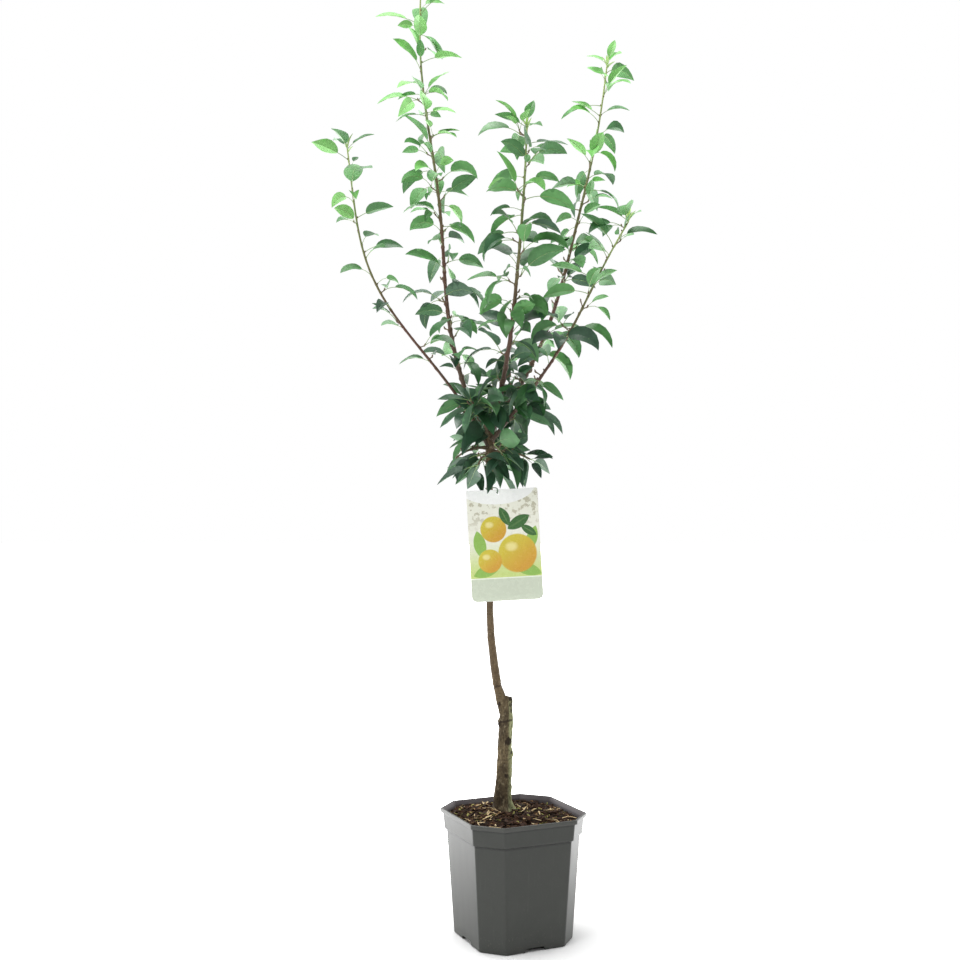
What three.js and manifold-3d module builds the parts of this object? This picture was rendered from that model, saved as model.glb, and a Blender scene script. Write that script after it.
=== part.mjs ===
// A young grafted pear tree in its nursery pot: an eight-sided plastic pot, the potting soil in it, a
// trunk with its graft bend, five shoots that spread like a vase, the leaves in masses, and a picture
// card tied to the stem. Millimetres, +Z up. The origin is the middle of the pot's flat underside, and
// the card faces -Y.
import * as THREE from "three";
import { mergeVertices } from "three/addons/utils/BufferGeometryUtils.js";
import Module from "manifold-3d";

const wasm = await Module();
wasm.setup();

// Clearance between neighbouring pieces
const GAP = 0.3;

// The pot: levels of its outside from the ground up, each with half its width across the long sides
const POT = {
  turn: 24,
  wall: 1.8,
  floor: 2.2,
  cornerShare: 0.38,
  levels: [
    { z: 0, half: 79.4 },
    { z: 2.5, half: 81 },
    { z: 163.5, half: 91.4 },
    { z: 165.5, half: 94.5 },
    { z: 190.4, half: 96.6 },
    { z: 191.4, half: 100 },
    { z: 197.6, half: 100.2 },
  ],
  lipInset: 3.2,
  notch: { width: 31, height: 6.5, depth: 9 },
};
const [, , UNDER_BAND, BAND_FOOT, BAND_TOP] = POT.levels;
const LIP_TOP = POT.levels[POT.levels.length - 1];

// The potting soil: rings of its top from the wall inwards, each a share of the way to the trunk's foot
const SOIL = {
  edgeZ: 186.5,
  rings: [
    { share: 0.2, z: 188.5, lump: 1.6 },
    { share: 0.42, z: 190.2, lump: 1.8 },
    { share: 0.62, z: 192.0, lump: 1.4 },
  ],
  padRadius: 21,
  padZ: 194.7,
  longSideSteps: 3,
  seed: 11,
};

// The trunk stands in the plane y = TRUNK_Y. The stock is the rooted part below the graft, and ends in a
// cut stub. The scion is the stem that was grafted on it, and swells at its head, where it was cut back.
const TRUNK_Y = 15;
const TRUNK_SIDES = 12;
const FLARE_LOBES = 5;
const STOCK = [
  { z: 195, x: -16.3, r: 14.8, lobe: 0.17 },
  { z: 199, x: -16.2, r: 13.6, lobe: 0.12 },
  { z: 208, x: -16.0, r: 12.7, lobe: 0.05 },
  { z: 224, x: -15.4, r: 12.6, lobe: 0.02 },
  { z: 253, x: -13.8, r: 12.0, lobe: 0 },
  { z: 285, x: -12.5, r: 11.2, lobe: 0 },
  { z: 305, x: -11.9, r: 11.0, lobe: 0 },
  { z: 335, x: -11.2, r: 11.5, lobe: 0 },
  { z: 356, x: -10.8, r: 10.7, lobe: 0 },
  { z: 368, x: -8.6, r: 9.0, lobe: 0 },
  { z: 374, x: -7.3, r: 8.0, lobe: 0 },
  { z: 376.6, x: -6.9, r: 6.2, lobe: 0 },
];
const SCION = [
  { z: 346, x: -12.5, r: 8.6 },
  { z: 362, x: -15.6, r: 8.8 },
  { z: 377, x: -19, r: 8.4 },
  { z: 395, x: -25, r: 7.0 },
  { z: 425, x: -29, r: 6.9 },
  { z: 474, x: -35, r: 6.2 },
  { z: 525, x: -37, r: 5.6 },
  { z: 629, x: -37, r: 5.2 },
  { z: 727, x: -37, r: 5.2 },
  { z: 806, x: -36, r: 8.5 },
  { z: 810.5, x: -36, r: 5.6 },
];

// A shoot runs from its foot in the trunk's head to its tip. bow bends its middle sideways in x and y,
// and bends gives it an S and a third bend in x. The radius goes from the foot's to the tip's.
const SHOOTS = {
  left_outer: { foot: [-39, 12, 782], tip: [-262, -60, 1247], bow: [-50, 10], bends: [10, 5], r: [2.9, 1.2] },
  tall: { foot: [-46, 18, 792], tip: [-155, 110, 1581], bow: [-28, 25], bends: [-5, -8], r: [4.4, 1.2] },
  centre: { foot: [-35, 10, 805], tip: [18, -150, 1251], bow: [13, -30], bends: [2, 1], r: [4.5, 1.3] },
  right_centre: { foot: [-38, 18, 800], tip: [171, 150, 1462], bow: [42, 30], bends: [7, 4], r: [4.3, 1.2] },
  right_outer: { foot: [-34, 6, 791], tip: [180, -70, 1129], bow: [16, -20], bends: [4, -1], r: [3.2, 1.2] },
};
const SHOOT_TAPER = 0.8;
const BOUGH_SIDES = 6;
const BOUGH_STEP = 25;

// A twig leaves the trunk's head at height z towards azimuth az. Its rise above the level goes evenly
// from the first angle to the second, which makes it an arc.
const HEAD = { middle: [-36.5, TRUNK_Y], inset: 4, bare: 14 };
const TWIGS = {
  skirt_left: { z: 779, az: 207, rise: [5, -40], length: 62, r: [2.4, 1.3] },
  skirt_front_left: { z: 768, az: 247, rise: [0, -45], length: 50, r: [2.3, 1.3] },
  skirt_front: { z: 780, az: 292, rise: [5, -40], length: 54, r: [2.4, 1.3] },
  skirt_right: { z: 772, az: 338, rise: [8, -30], length: 68, r: [2.4, 1.3] },
  skirt_back_right: { z: 780, az: 42, rise: [8, -30], length: 62, r: [2.4, 1.3] },
  skirt_back_left: { z: 770, az: 118, rise: [8, -30], length: 62, r: [2.4, 1.3] },
  heart_front: { z: 797, az: 240, rise: [58, 30], length: 78, r: [2.3, 1.2] },
  heart_right: { z: 795, az: 10, rise: [52, 28], length: 82, r: [2.3, 1.2] },
  heart_back: { z: 799, az: 88, rise: [62, 35], length: 78, r: [2.3, 1.2] },
  heart_left: { z: 797, az: 160, rise: [56, 30], length: 78, r: [2.3, 1.2] },
};

// A habit says how a mass is leafed: the step between its nodes, the share of nodes that are spurs, how
// many leaves a spur holds, the leaves' sizes, the middle and spread of their rise and arch, and the
// leaves in its end tuft.
const HABITS = {
  top: { step: 17, spur: 0, leaves: [1, 1], size: [42, 58], rise: [46, 28], arch: [64, 40], tuft: 3 },
  upper: { step: 15, spur: 0.2, leaves: [2, 3], size: [46, 62], rise: [40, 28], arch: [72, 40], tuft: 0 },
  middle: { step: 15, spur: 0.35, leaves: [2, 3], size: [46, 64], rise: [36, 28], arch: [80, 40], tuft: 0 },
  low: { step: 17, spur: 0.65, leaves: [2, 3], size: [46, 64], rise: [32, 28], arch: [84, 40], tuft: 0 },
  sparse: { step: 34, spur: 0.3, leaves: [1, 2], size: [42, 56], rise: [36, 24], arch: [76, 40], tuft: 0 },
  skirt: { step: 13, spur: 0.4, leaves: [2, 3], size: [50, 66], rise: [0, 24], arch: [64, 36], tuft: 3 },
  heart: { step: 13, spur: 0.5, leaves: [2, 3], size: [46, 64], rise: [14, 28], arch: [74, 36], tuft: 3 },
};

// A mass: its name, the shoot or twig that its stem follows and from which share of it to which, its
// habit, the seed of its draws, and what it changes in the habit
function foliage(name, on, span, habit, seed, changed = {}) {
  return { ...HABITS[habit], ...changed, name, on, span, seed };
}

// The masses, in the order in which they are grown
const MASSES = [
  foliage("tall_top", "tall", [0.8, 1], "top", 703),
  foliage("right_centre_top", "right_centre", [0.78, 1], "top", 2306),
  foliage("left_outer_top", "left_outer", [0.62, 1], "top", 2295, { step: 20 }),
  foliage("right_outer_top", "right_outer", [0.64, 1], "top", 1858, { step: 14, spur: 0.1, leaves: [2, 3] }),
  foliage("centre_top", "centre", [0.76, 1], "top", 177, { step: 13, spur: 0.2, leaves: [2, 3] }),
  foliage("tall_upper", "tall", [0.6, 0.8], "upper", 886),
  foliage("right_centre_upper", "right_centre", [0.59, 0.78], "upper", 1798),
  foliage("left_outer_low", "left_outer", [0.24, 0.62], "sparse", 1398),
  foliage("right_outer_low", "right_outer", [0.3, 0.64], "upper", 10),
  foliage("centre_middle", "centre", [0.5, 0.76], "middle", 910),
  foliage("tall_middle", "tall", [0.37, 0.6], "middle", 1304),
  foliage("right_centre_middle", "right_centre", [0.37, 0.59], "middle", 1583),
  foliage("tall_low", "tall", [0.12, 0.37], "low", 59),
  foliage("centre_low", "centre", [0.2, 0.5], "low", 698),
  foliage("right_centre_low", "right_centre", [0.14, 0.37], "low", 597),
  foliage("skirt_left", "skirt_left", [0, 1], "skirt", 185),
  foliage("skirt_front_left", "skirt_front_left", [0, 1], "skirt", 172),
  foliage("skirt_front", "skirt_front", [0, 1], "skirt", 509),
  foliage("skirt_right", "skirt_right", [0, 1], "skirt", 165),
  foliage("skirt_back_right", "skirt_back_right", [0, 1], "skirt", 563),
  foliage("skirt_back_left", "skirt_back_left", [0, 1], "skirt", 101),
  foliage("heart_front", "heart_front", [0, 1], "heart", 573),
  foliage("heart_right", "heart_right", [0, 1], "heart", 165),
  foliage("heart_back", "heart_back", [0, 1], "heart", 753),
  foliage("heart_left", "heart_left", [0, 1], "heart", 736),
];

// Each new node sits 144 degrees round the stem from the last, five to two turns. A leaf that finds no
// room tries these turns and lifts before it is skipped.
const SPIRAL = 144;
const TRIES = [[0, 0], [32, 0], [-32, 0], [64, 8], [-64, 8], [100, -12], [-100, -12]];

// Room to keep: from a blade to other limbs, to its own stem, to leaves of other masses, to leaves and to
// stalks of its own mass, and from a stalk to other limbs. A leaf may come nearer to another mass's line
// than to its own by share.
const ROOM = { limb: 6, ownStem: 1.5, otherLeaf: 8.5, ownLeaf: 6, ownStalk: 3.5, stalk: 3, share: 32 };

// A leaf: half its widths follow u^rise * (1 - u)^fall along the blade. width is a share of its length,
// and petiole is in millimetres. A pair of least and span gives a size that is drawn between least and
// least + span. wander is how far a node strays from the spiral, and roll how far a blade turns about its
// midrib, both in all.
const LEAF = {
  rise: 0.62,
  fall: 0.95,
  width: [0.46, 0.14],
  petiole: [14, 14],
  wander: 50,
  roll: 110,
  fold: 16,
};

// A spur's length and its rise, the fan of its leaves, how much shorter their petioles are, and how much
// steeper all but the first of them rise
const SPUR = { reach: [6, 12], rise: [15, 30], fan: 80, wander: 30, petiole: 0.85, lift: 6 };

// The tuft at a stem's tip: its leaves' share of the habit's size on a twig and on a shoot, and how far
// they rise over the habit's middle
const TUFT = {
  size: { twig: 0.9, shoot: 0.78 },
  width: [0.44, 0.12],
  petiole: [10, 8],
  lift: 4,
  spread: 22,
  wander: 40,
  arch: 46,
  fold: 20,
};

// The solids of leaves, stems and spurs: the shares of a blade that carry a section, half a petiole's
// width, the blade's least thickness in its middle, the length of a stem's facets, the least radius that
// a stem is drawn with, its bud, the radii of a spur's foot and knob, and how far the knob reaches past
// the leaves' roots
const FORM = { blade: [0.34, 0.7], petioleHalf: 0.9, thickness: 1.3 };
const STEM = { step: 32, least: 1.5, bud: 5 };
const KNOB = { r: [1.5, 2.3], past: 1.3 };

// The picture card, which hangs turned a little from its hole, and the tie through the hole and round the
// stem
const CARD = {
  width: 115.5,
  height: 180,
  thickness: 0.8,
  topRadius: 3,
  bottomRadius: 9,
  middle: [-12.6, 5, 621.5],
  lean: -3.2,
  hole: { x: -7, drop: 6.5, r: 2.6 },
};
const CARD_KEEP_OUT = { low: [-84, -8, 515], high: [58, 16, 716] };
const TIE = {
  r: 0.8,
  sides: 5,
  steps: 24,
  stem: { x: -37, r: 5.2 },
  room: 0.8,
  bends: [-95, -140, 180, 140, 95, 55, 15],
  fall: 4.4,
};

const COLOURS = {
  pot: 0x5b5d5a,
  soil: 0x3a2b20,
  bark: 0x5e5242,
  shoot: 0x6b4a3c,
  youngLeaf: 0x86c46a,
  oldLeaf: 0x2c4a33,
  card: 0xd8d59c,
  tie: 0x3c5a3c,
};

const RAD = Math.PI / 180;

// Materials
function finish(color, roughness, metalness = 0) {
  return new THREE.MeshStandardMaterial({ color, roughness, metalness });
}

// Leaves go from the old green to the young one with height.
function leafFinish(z) {
  const share = THREE.MathUtils.smoothstep(z, 800, 1500);
  const color = new THREE.Color(COLOURS.oldLeaf).lerp(new THREE.Color(COLOURS.youngLeaf), share);
  return finish(color, 0.55);
}

// Solids: a geometry with merged corners as a solid, and a solid as a mesh
function solidOf(geometry) {
  const bare = geometry.clone();
  for (const name of Object.keys(bare.attributes)) {
    if (name !== "position") bare.deleteAttribute(name);
  }
  const merged = mergeVertices(bare, 1e-4);
  return new wasm.Manifold(
    new wasm.Mesh({
      numProp: 3,
      vertProperties: new Float32Array(merged.attributes.position.array),
      triVerts: new Uint32Array(merged.index.array),
    }),
  );
}

function largestBody(solid) {
  const bodies = solid.decompose();
  return bodies.reduce((best, body) => (body.volume() > best.volume() ? body : best));
}

function meshOf(solid, name, material) {
  const made = largestBody(solid).getMesh();
  const positions = new Float32Array(made.numVert * 3);
  for (let i = 0; i < made.numVert; i += 1) {
    positions.set(made.vertProperties.subarray(i * made.numProp, i * made.numProp + 3), i * 3);
  }
  const geometry = new THREE.BufferGeometry();
  geometry.setAttribute("position", new THREE.BufferAttribute(positions, 3));
  geometry.setIndex(new THREE.BufferAttribute(new Uint32Array(made.triVerts), 1));
  geometry.computeVertexNormals();
  const mesh = new THREE.Mesh(geometry, material);
  mesh.name = name;
  return mesh;
}

// A closed body through rings of points that turn anticlockwise about its direction. Neighbouring panels
// split along opposite diagonals, so the two sides of a thin body split alike. A ring of one point is a
// tip.
function loft(rings) {
  const positions = [];
  const faces = [];
  const starts = rings.map((ring) => {
    const start = positions.length / 3;
    ring.forEach((p) => positions.push(p.x, p.y, p.z));
    return start;
  });
  for (let i = 0; i + 1 < rings.length; i += 1) {
    const count = rings[i].length;
    const low = starts[i];
    const high = starts[i + 1];
    for (let j = 0; j < count; j += 1) {
      const next = (j + 1) % count;
      if (rings[i + 1].length === 1) faces.push(low + j, low + next, high);
      else if (j % 2 === 0) faces.push(low + j, low + next, high + next, low + j, high + next, high + j);
      else faces.push(low + j, low + next, high + j, low + next, high + next, high + j);
    }
  }
  const last = rings.length - 1;
  for (let j = 1; j + 1 < rings[0].length; j += 1) faces.push(starts[0], starts[0] + j + 1, starts[0] + j);
  for (let j = 1; j + 1 < rings[last].length; j += 1) {
    faces.push(starts[last], starts[last] + j, starts[last] + j + 1);
  }
  const geometry = new THREE.BufferGeometry();
  geometry.setAttribute("position", new THREE.Float32BufferAttribute(positions, 3));
  geometry.setIndex(faces);
  return geometry;
}

// A round ring about a point, square to a direction. across settles where its first corner lies.
function ring(centre, direction, radius, sides, across) {
  const out = across.clone().addScaledVector(direction, -across.dot(direction)).normalize();
  const up = new THREE.Vector3().crossVectors(direction, out);
  return Array.from({ length: sides }, (_, j) => {
    const a = (2 * Math.PI * j) / sides;
    const [c, d] = [radius * Math.cos(a), radius * Math.sin(a)];
    return centre.clone().addScaledVector(out, c).addScaledVector(up, d);
  });
}

// A tapering limb along a line given as a function of its share, between two shares
function limb({ at, radiusAt, across, from, to, steps, sides, grown = 0, bud = 0 }) {
  const rings = [];
  for (let i = 0; i <= steps; i += 1) {
    const t = from + ((to - from) * i) / steps;
    const slope = (to - from) / 200;
    const direction = at(t + slope).sub(at(t - slope)).normalize();
    rings.push(ring(at(t), direction, radiusAt(t) + grown, sides, across));
    if (i === steps && bud) rings.push([at(t).addScaledVector(direction, bud)]);
  }
  return solidOf(loft(rings));
}

// The pot
function octagon(half, z) {
  const cut = half * POT.cornerShare;
  const corners = [];
  for (let k = 0; k < 4; k += 1) {
    const normal = new THREE.Vector2(Math.cos((k * Math.PI) / 2), Math.sin((k * Math.PI) / 2));
    const along = new THREE.Vector2(-normal.y, normal.x);
    for (const side of [-1, 1]) {
      const p = normal.clone().multiplyScalar(half).addScaledVector(along, side * (half - cut));
      corners.push(new THREE.Vector3(p.x, p.y, z));
    }
  }
  return corners;
}

// Half the width of the pot's inside at a height
function insideHalf(z) {
  const levels = POT.levels;
  let i = 0;
  while (i + 2 < levels.length && levels[i + 1].z < z) i += 1;
  const t = (z - levels[i].z) / (levels[i + 1].z - levels[i].z);
  return levels[i].half + (levels[i + 1].half - levels[i].half) * t - POT.wall;
}

function buildPot() {
  const outside = solidOf(loft(POT.levels.map(({ z, half }) => octagon(half, z))));
  const insideLevels = [
    { z: POT.floor, half: insideHalf(POT.floor) },
    { z: UNDER_BAND.z + POT.wall, half: UNDER_BAND.half - POT.wall },
    { z: BAND_FOOT.z + POT.wall, half: BAND_FOOT.half - POT.wall },
    { z: BAND_TOP.z, half: BAND_TOP.half - POT.wall },
    { z: LIP_TOP.z + 1, half: LIP_TOP.half - POT.lipInset },
  ];
  const inside = solidOf(loft(insideLevels.map(({ z, half }) => octagon(half, z))));
  const { width, height, depth } = POT.notch;
  let pot = outside.subtract(inside);
  for (let k = 0; k < 4; k += 1) {
    const notch = new THREE.BoxGeometry(2 * depth, width, 2 * height);
    notch.translate(POT.levels[0].half, 0, 0);
    notch.rotateZ((k * Math.PI) / 2);
    pot = pot.subtract(solidOf(notch));
  }
  return pot;
}

// The soil fills the pot and rises in loose lumps to a level pad under the trunk's foot.
function stretchedOctagon(half, z) {
  const corners = octagon(half, z);
  const points = [];
  for (let j = 0; j < corners.length; j += 1) {
    const steps = j % 2 === 0 ? SOIL.longSideSteps : 1;
    for (let i = 0; i < steps; i += 1) {
      points.push(corners[j].clone().lerp(corners[(j + 1) % corners.length], i / steps));
    }
  }
  return points;
}

function buildSoil() {
  const draw = seeded(SOIL.seed);
  const foot = new THREE.Vector3(STOCK[0].x, TRUNK_Y, 0);
  foot.applyAxisAngle(new THREE.Vector3(0, 0, 1), -POT.turn * RAD);
  const edge = stretchedOctagon(insideHalf(SOIL.edgeZ) - GAP, SOIL.edgeZ);
  const pad = edge.map((p) => {
    const out = p.clone().setZ(0).sub(foot).setZ(0).normalize();
    return foot.clone().addScaledVector(out, SOIL.padRadius).setZ(SOIL.padZ);
  });
  const rings = [
    stretchedOctagon(insideHalf(POT.floor) - GAP, POT.floor + GAP),
    stretchedOctagon(UNDER_BAND.half - POT.wall - GAP, UNDER_BAND.z + POT.wall),
    stretchedOctagon(BAND_FOOT.half - POT.wall - GAP, BAND_FOOT.z + POT.wall + GAP),
    edge,
  ];
  for (const { share, z, lump } of SOIL.rings) {
    rings.push(edge.map((p, j) => p.clone().lerp(pad[j], share).setZ(z + lump * (2 * draw() - 1))));
  }
  rings.push(pad);
  return solidOf(loft(rings));
}

// The trunk: the stock with its root flare and the scion, joined
function trunkPiece(profile, grown) {
  return loft(
    profile.map(({ z, x, r, lobe = 0 }) =>
      Array.from({ length: TRUNK_SIDES }, (_, j) => {
        const a = (2 * Math.PI * j) / TRUNK_SIDES;
        const out = (r + grown) * (1 + lobe * Math.cos(FLARE_LOBES * a));
        return new THREE.Vector3(x + out * Math.cos(a), TRUNK_Y + out * Math.sin(a), z);
      }),
    ),
  );
}

function trunkSolid(grown = 0) {
  return solidOf(trunkPiece(STOCK, grown)).add(solidOf(trunkPiece(SCION, grown)));
}

// Lines of the shoots and twigs
function shootPoint(shoot, t) {
  const { foot, tip, bow, bends } = shoot;
  const wave = (k) => Math.sin(k * Math.PI * t);
  return new THREE.Vector3(
    foot[0] + (tip[0] - foot[0]) * t + bow[0] * wave(1) + bends[0] * wave(2) + bends[1] * wave(3),
    foot[1] + (tip[1] - foot[1]) * t + bow[1] * wave(1),
    foot[2] + (tip[2] - foot[2]) * t,
  );
}

function shootRadius(shoot, t) {
  return shoot.r[0] + (shoot.r[1] - shoot.r[0]) * Math.max(t, 0) ** SHOOT_TAPER;
}

// How far out and up an arc has come after a length, when its rise goes from e0 by k for each millimetre
function arc(e0, k, length) {
  return [(Math.sin(e0) - Math.sin(e0 - k * length)) / k, (Math.cos(e0 - k * length) - Math.cos(e0)) / k];
}

function twigPoint(twig, t) {
  const e0 = twig.rise[0] * RAD;
  const k = ((twig.rise[0] - twig.rise[1]) * RAD) / twig.length;
  const [out, up] = arc(e0, k, twig.length * t);
  const a = twig.az * RAD;
  return new THREE.Vector3(
    HEAD.middle[0] + (HEAD.inset + out) * Math.cos(a),
    HEAD.middle[1] + (HEAD.inset + out) * Math.sin(a),
    twig.z + up,
  );
}

// The line of a mass's stem as functions of the share of its length, and the direction that its rings
// start from
function stemOf(mass) {
  const [a, b] = mass.span;
  const share = (t) => a + (b - a) * t;
  const shoot = SHOOTS[mass.on];
  if (shoot) {
    return {
      at: (t) => shootPoint(shoot, share(t)),
      radiusAt: (t) => shootRadius(shoot, share(t)),
      across: new THREE.Vector3(0, 1, 0),
    };
  }
  const twig = TWIGS[mass.on];
  return {
    at: (t) => twigPoint(twig, share(t)),
    radiusAt: (t) => twig.r[0] + (twig.r[1] - twig.r[0]) * t,
    across: new THREE.Vector3(-Math.sin(twig.az * RAD), Math.cos(twig.az * RAD), 0),
  };
}

function lengthOf(at, steps) {
  let length = 0;
  for (let i = 0; i < steps; i += 1) length += at(i / steps).distanceTo(at((i + 1) / steps));
  return length;
}

// A bough is the bare part of a shoot.
function boughEnd(name) {
  return Math.min(...MASSES.filter((mass) => mass.on === name).map((mass) => mass.span[0]));
}

function boughSolid(name, grown = 0) {
  const shoot = SHOOTS[name];
  const end = boughEnd(name);
  const at = (t) => shootPoint(shoot, t);
  const steps = Math.max(3, Math.round(lengthOf((t) => at(t * end), 12) / BOUGH_STEP));
  return limb({
    at,
    radiusAt: (t) => shootRadius(shoot, t),
    across: new THREE.Vector3(0, 1, 0),
    from: 0,
    to: end,
    steps,
    sides: BOUGH_SIDES,
    grown,
  });
}

// Draws between 0 and 1 that are the same for the same seed, the size that a draw gives between two
// limits, and a draw's stray to either side of 0 within a width
function seeded(seed) {
  let state = seed >>> 0;
  return () => {
    state = (state + 0x6d2b79f5) >>> 0;
    let t = Math.imul(state ^ (state >>> 15), state | 1);
    t ^= t + Math.imul(t ^ (t >>> 7), t | 61);
    return ((t ^ (t >>> 14)) >>> 0) / 4294967296;
  };
}

function between([least, span], u) {
  return least + span * u;
}

function stray(width, u) {
  return width * (u - 0.5);
}

// A leaf's midrib is an arc in the upright plane of its azimuth, petiole and blade together. The blade
// rolls about it.
function midrib(leaf, s) {
  const e0 = leaf.rise * RAD;
  const k = (leaf.arch * RAD) / (leaf.petiole + leaf.length);
  const e = e0 - k * s;
  const [out, up] = arc(e0, k, s);
  const cos = Math.cos(leaf.az * RAD);
  const sin = Math.sin(leaf.az * RAD);
  const level = new THREE.Vector3(-sin, cos, 0);
  const upper = new THREE.Vector3(-Math.sin(e) * cos, -Math.sin(e) * sin, Math.cos(e));
  const roll = leaf.roll * RAD * Math.min(1, s / leaf.petiole);
  return {
    point: new THREE.Vector3(leaf.root.x + out * cos, leaf.root.y + out * sin, leaf.root.z + up),
    side: level.clone().multiplyScalar(Math.cos(roll)).addScaledVector(upper, Math.sin(roll)),
    normal: upper.clone().multiplyScalar(Math.cos(roll)).addScaledVector(level, -Math.sin(roll)),
  };
}

const WIDEST = LEAF.rise / (LEAF.rise + LEAF.fall);
const PEAK = WIDEST ** LEAF.rise * (1 - WIDEST) ** LEAF.fall;

function bladeHalf(leaf, u) {
  return ((leaf.width / 2) * u ** LEAF.rise * (1 - u) ** LEAF.fall) / PEAK;
}

function bladeEdge(leaf, u, sign) {
  const { point, side, normal } = midrib(leaf, leaf.petiole + leaf.length * u);
  const half = bladeHalf(leaf, u);
  const fold = leaf.fold * RAD;
  point.addScaledVector(side, sign * half * Math.cos(fold));
  return point.addScaledVector(normal, half * Math.sin(fold));
}

// The points that a leaf's room is tested at
function bladePoints(leaf) {
  const middle = [0.1, 0.3, 0.5, 0.7, 0.85, 1];
  const points = middle.map((u) => midrib(leaf, leaf.petiole + leaf.length * u).point);
  for (const u of [0.2, 0.4, 0.6, 0.8]) points.push(bladeEdge(leaf, u, 1), bladeEdge(leaf, u, -1));
  return points;
}

function stalkPoints(leaf) {
  return [0.4, 0.8].map((share) => midrib(leaf, leaf.petiole * share).point);
}

// What the leaves keep clear of: points along every limb with their radius and owner, the masses' own
// lines, and the leaves that other masses already have
function surroundings() {
  const limbs = [];
  const lines = new Map();
  for (const mass of MASSES) {
    const { at, radiusAt } = stemOf(mass);
    const steps = Math.max(4, Math.floor(lengthOf(at, 24) / 6));
    for (let i = 0; i <= steps; i += 1) {
      limbs.push({ point: at(i / steps), r: radiusAt(i / steps), owner: mass.name });
    }
    lines.set(mass.name, Array.from({ length: 13 }, (_, i) => at(i / 12)));
  }
  for (const name of Object.keys(SHOOTS)) {
    const end = boughEnd(name);
    for (let i = 0; i <= 24; i += 1) {
      const t = (end * i) / 24;
      const [point, r] = [shootPoint(SHOOTS[name], t), shootRadius(SHOOTS[name], t)];
      limbs.push({ point, r, owner: `bough_${name}` });
    }
  }
  for (let i = 2; i + 2 < SCION.length; i += 1) {
    const [a, b] = [SCION[i], SCION[i + 1]];
    for (let j = 0; j < 10; j += 1) {
      const mix = (p, q) => p + ((q - p) * j) / 10;
      const point = new THREE.Vector3(mix(a.x, b.x), TRUNK_Y, mix(a.z, b.z));
      limbs.push({ point, r: mix(a.r, b.r), owner: "trunk" });
    }
  }
  return { limbs, lines, leafPoints: [] };
}

function nearest(point, others) {
  return others.reduce((least, other) => Math.min(least, point.distanceTo(other)), Infinity);
}

function clearOfOthers(world, mass, points) {
  return points.every(
    (q) =>
      world.limbs.every(
        (l) => l.owner === mass.name || l.owner === "trunk" || q.distanceTo(l.point) >= l.r + ROOM.stalk,
      ) && world.leafPoints.every((p) => q.distanceTo(p) >= ROOM.otherLeaf),
  );
}

function insideBox(p, { low, high }) {
  return p.x > low[0] && p.x < high[0] && p.y > low[1] && p.y < high[1] && p.z > low[2] && p.z < high[2];
}

// Whether a leaf keeps to its mass's own space and touches nothing
function fits(world, mass, leaf, grown) {
  const points = bladePoints(leaf);
  const stalk = stalkPoints(leaf);
  const roomy = points.every((q) => {
    if (insideBox(q, CARD_KEEP_OUT)) return false;
    if (grown.blades.some((p) => q.distanceTo(p) < ROOM.ownLeaf)) return false;
    if (grown.stalks.some((p) => q.distanceTo(p) < ROOM.ownStalk)) return false;
    if (world.leafPoints.some((p) => q.distanceTo(p) < ROOM.otherLeaf)) return false;
    const room = (l) => l.r + (l.owner === mass.name ? ROOM.ownStem : ROOM.limb);
    if (world.limbs.some((l) => q.distanceTo(l.point) < room(l))) return false;
    const own = nearest(q, world.lines.get(mass.name));
    return [...world.lines.values()].every((line) => own - nearest(q, line) <= ROOM.share);
  });
  if (!roomy || stalk.some((q) => grown.blades.some((p) => q.distanceTo(p) < ROOM.ownStalk))) return null;
  return clearOfOthers(world, mass, stalk) ? { points, stalk } : null;
}

// Puts a leaf in if one of the tries finds room for it.
function settle(world, mass, leaf, grown) {
  for (const [turn, lift] of TRIES) {
    const tried = { ...leaf, az: leaf.az + turn, rise: leaf.rise + lift };
    const found = fits(world, mass, tried, grown);
    if (found) {
      grown.leaves.push(tried);
      grown.blades.push(...found.points);
      grown.stalks.push(...found.stalk);
      return true;
    }
  }
  return false;
}

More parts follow.
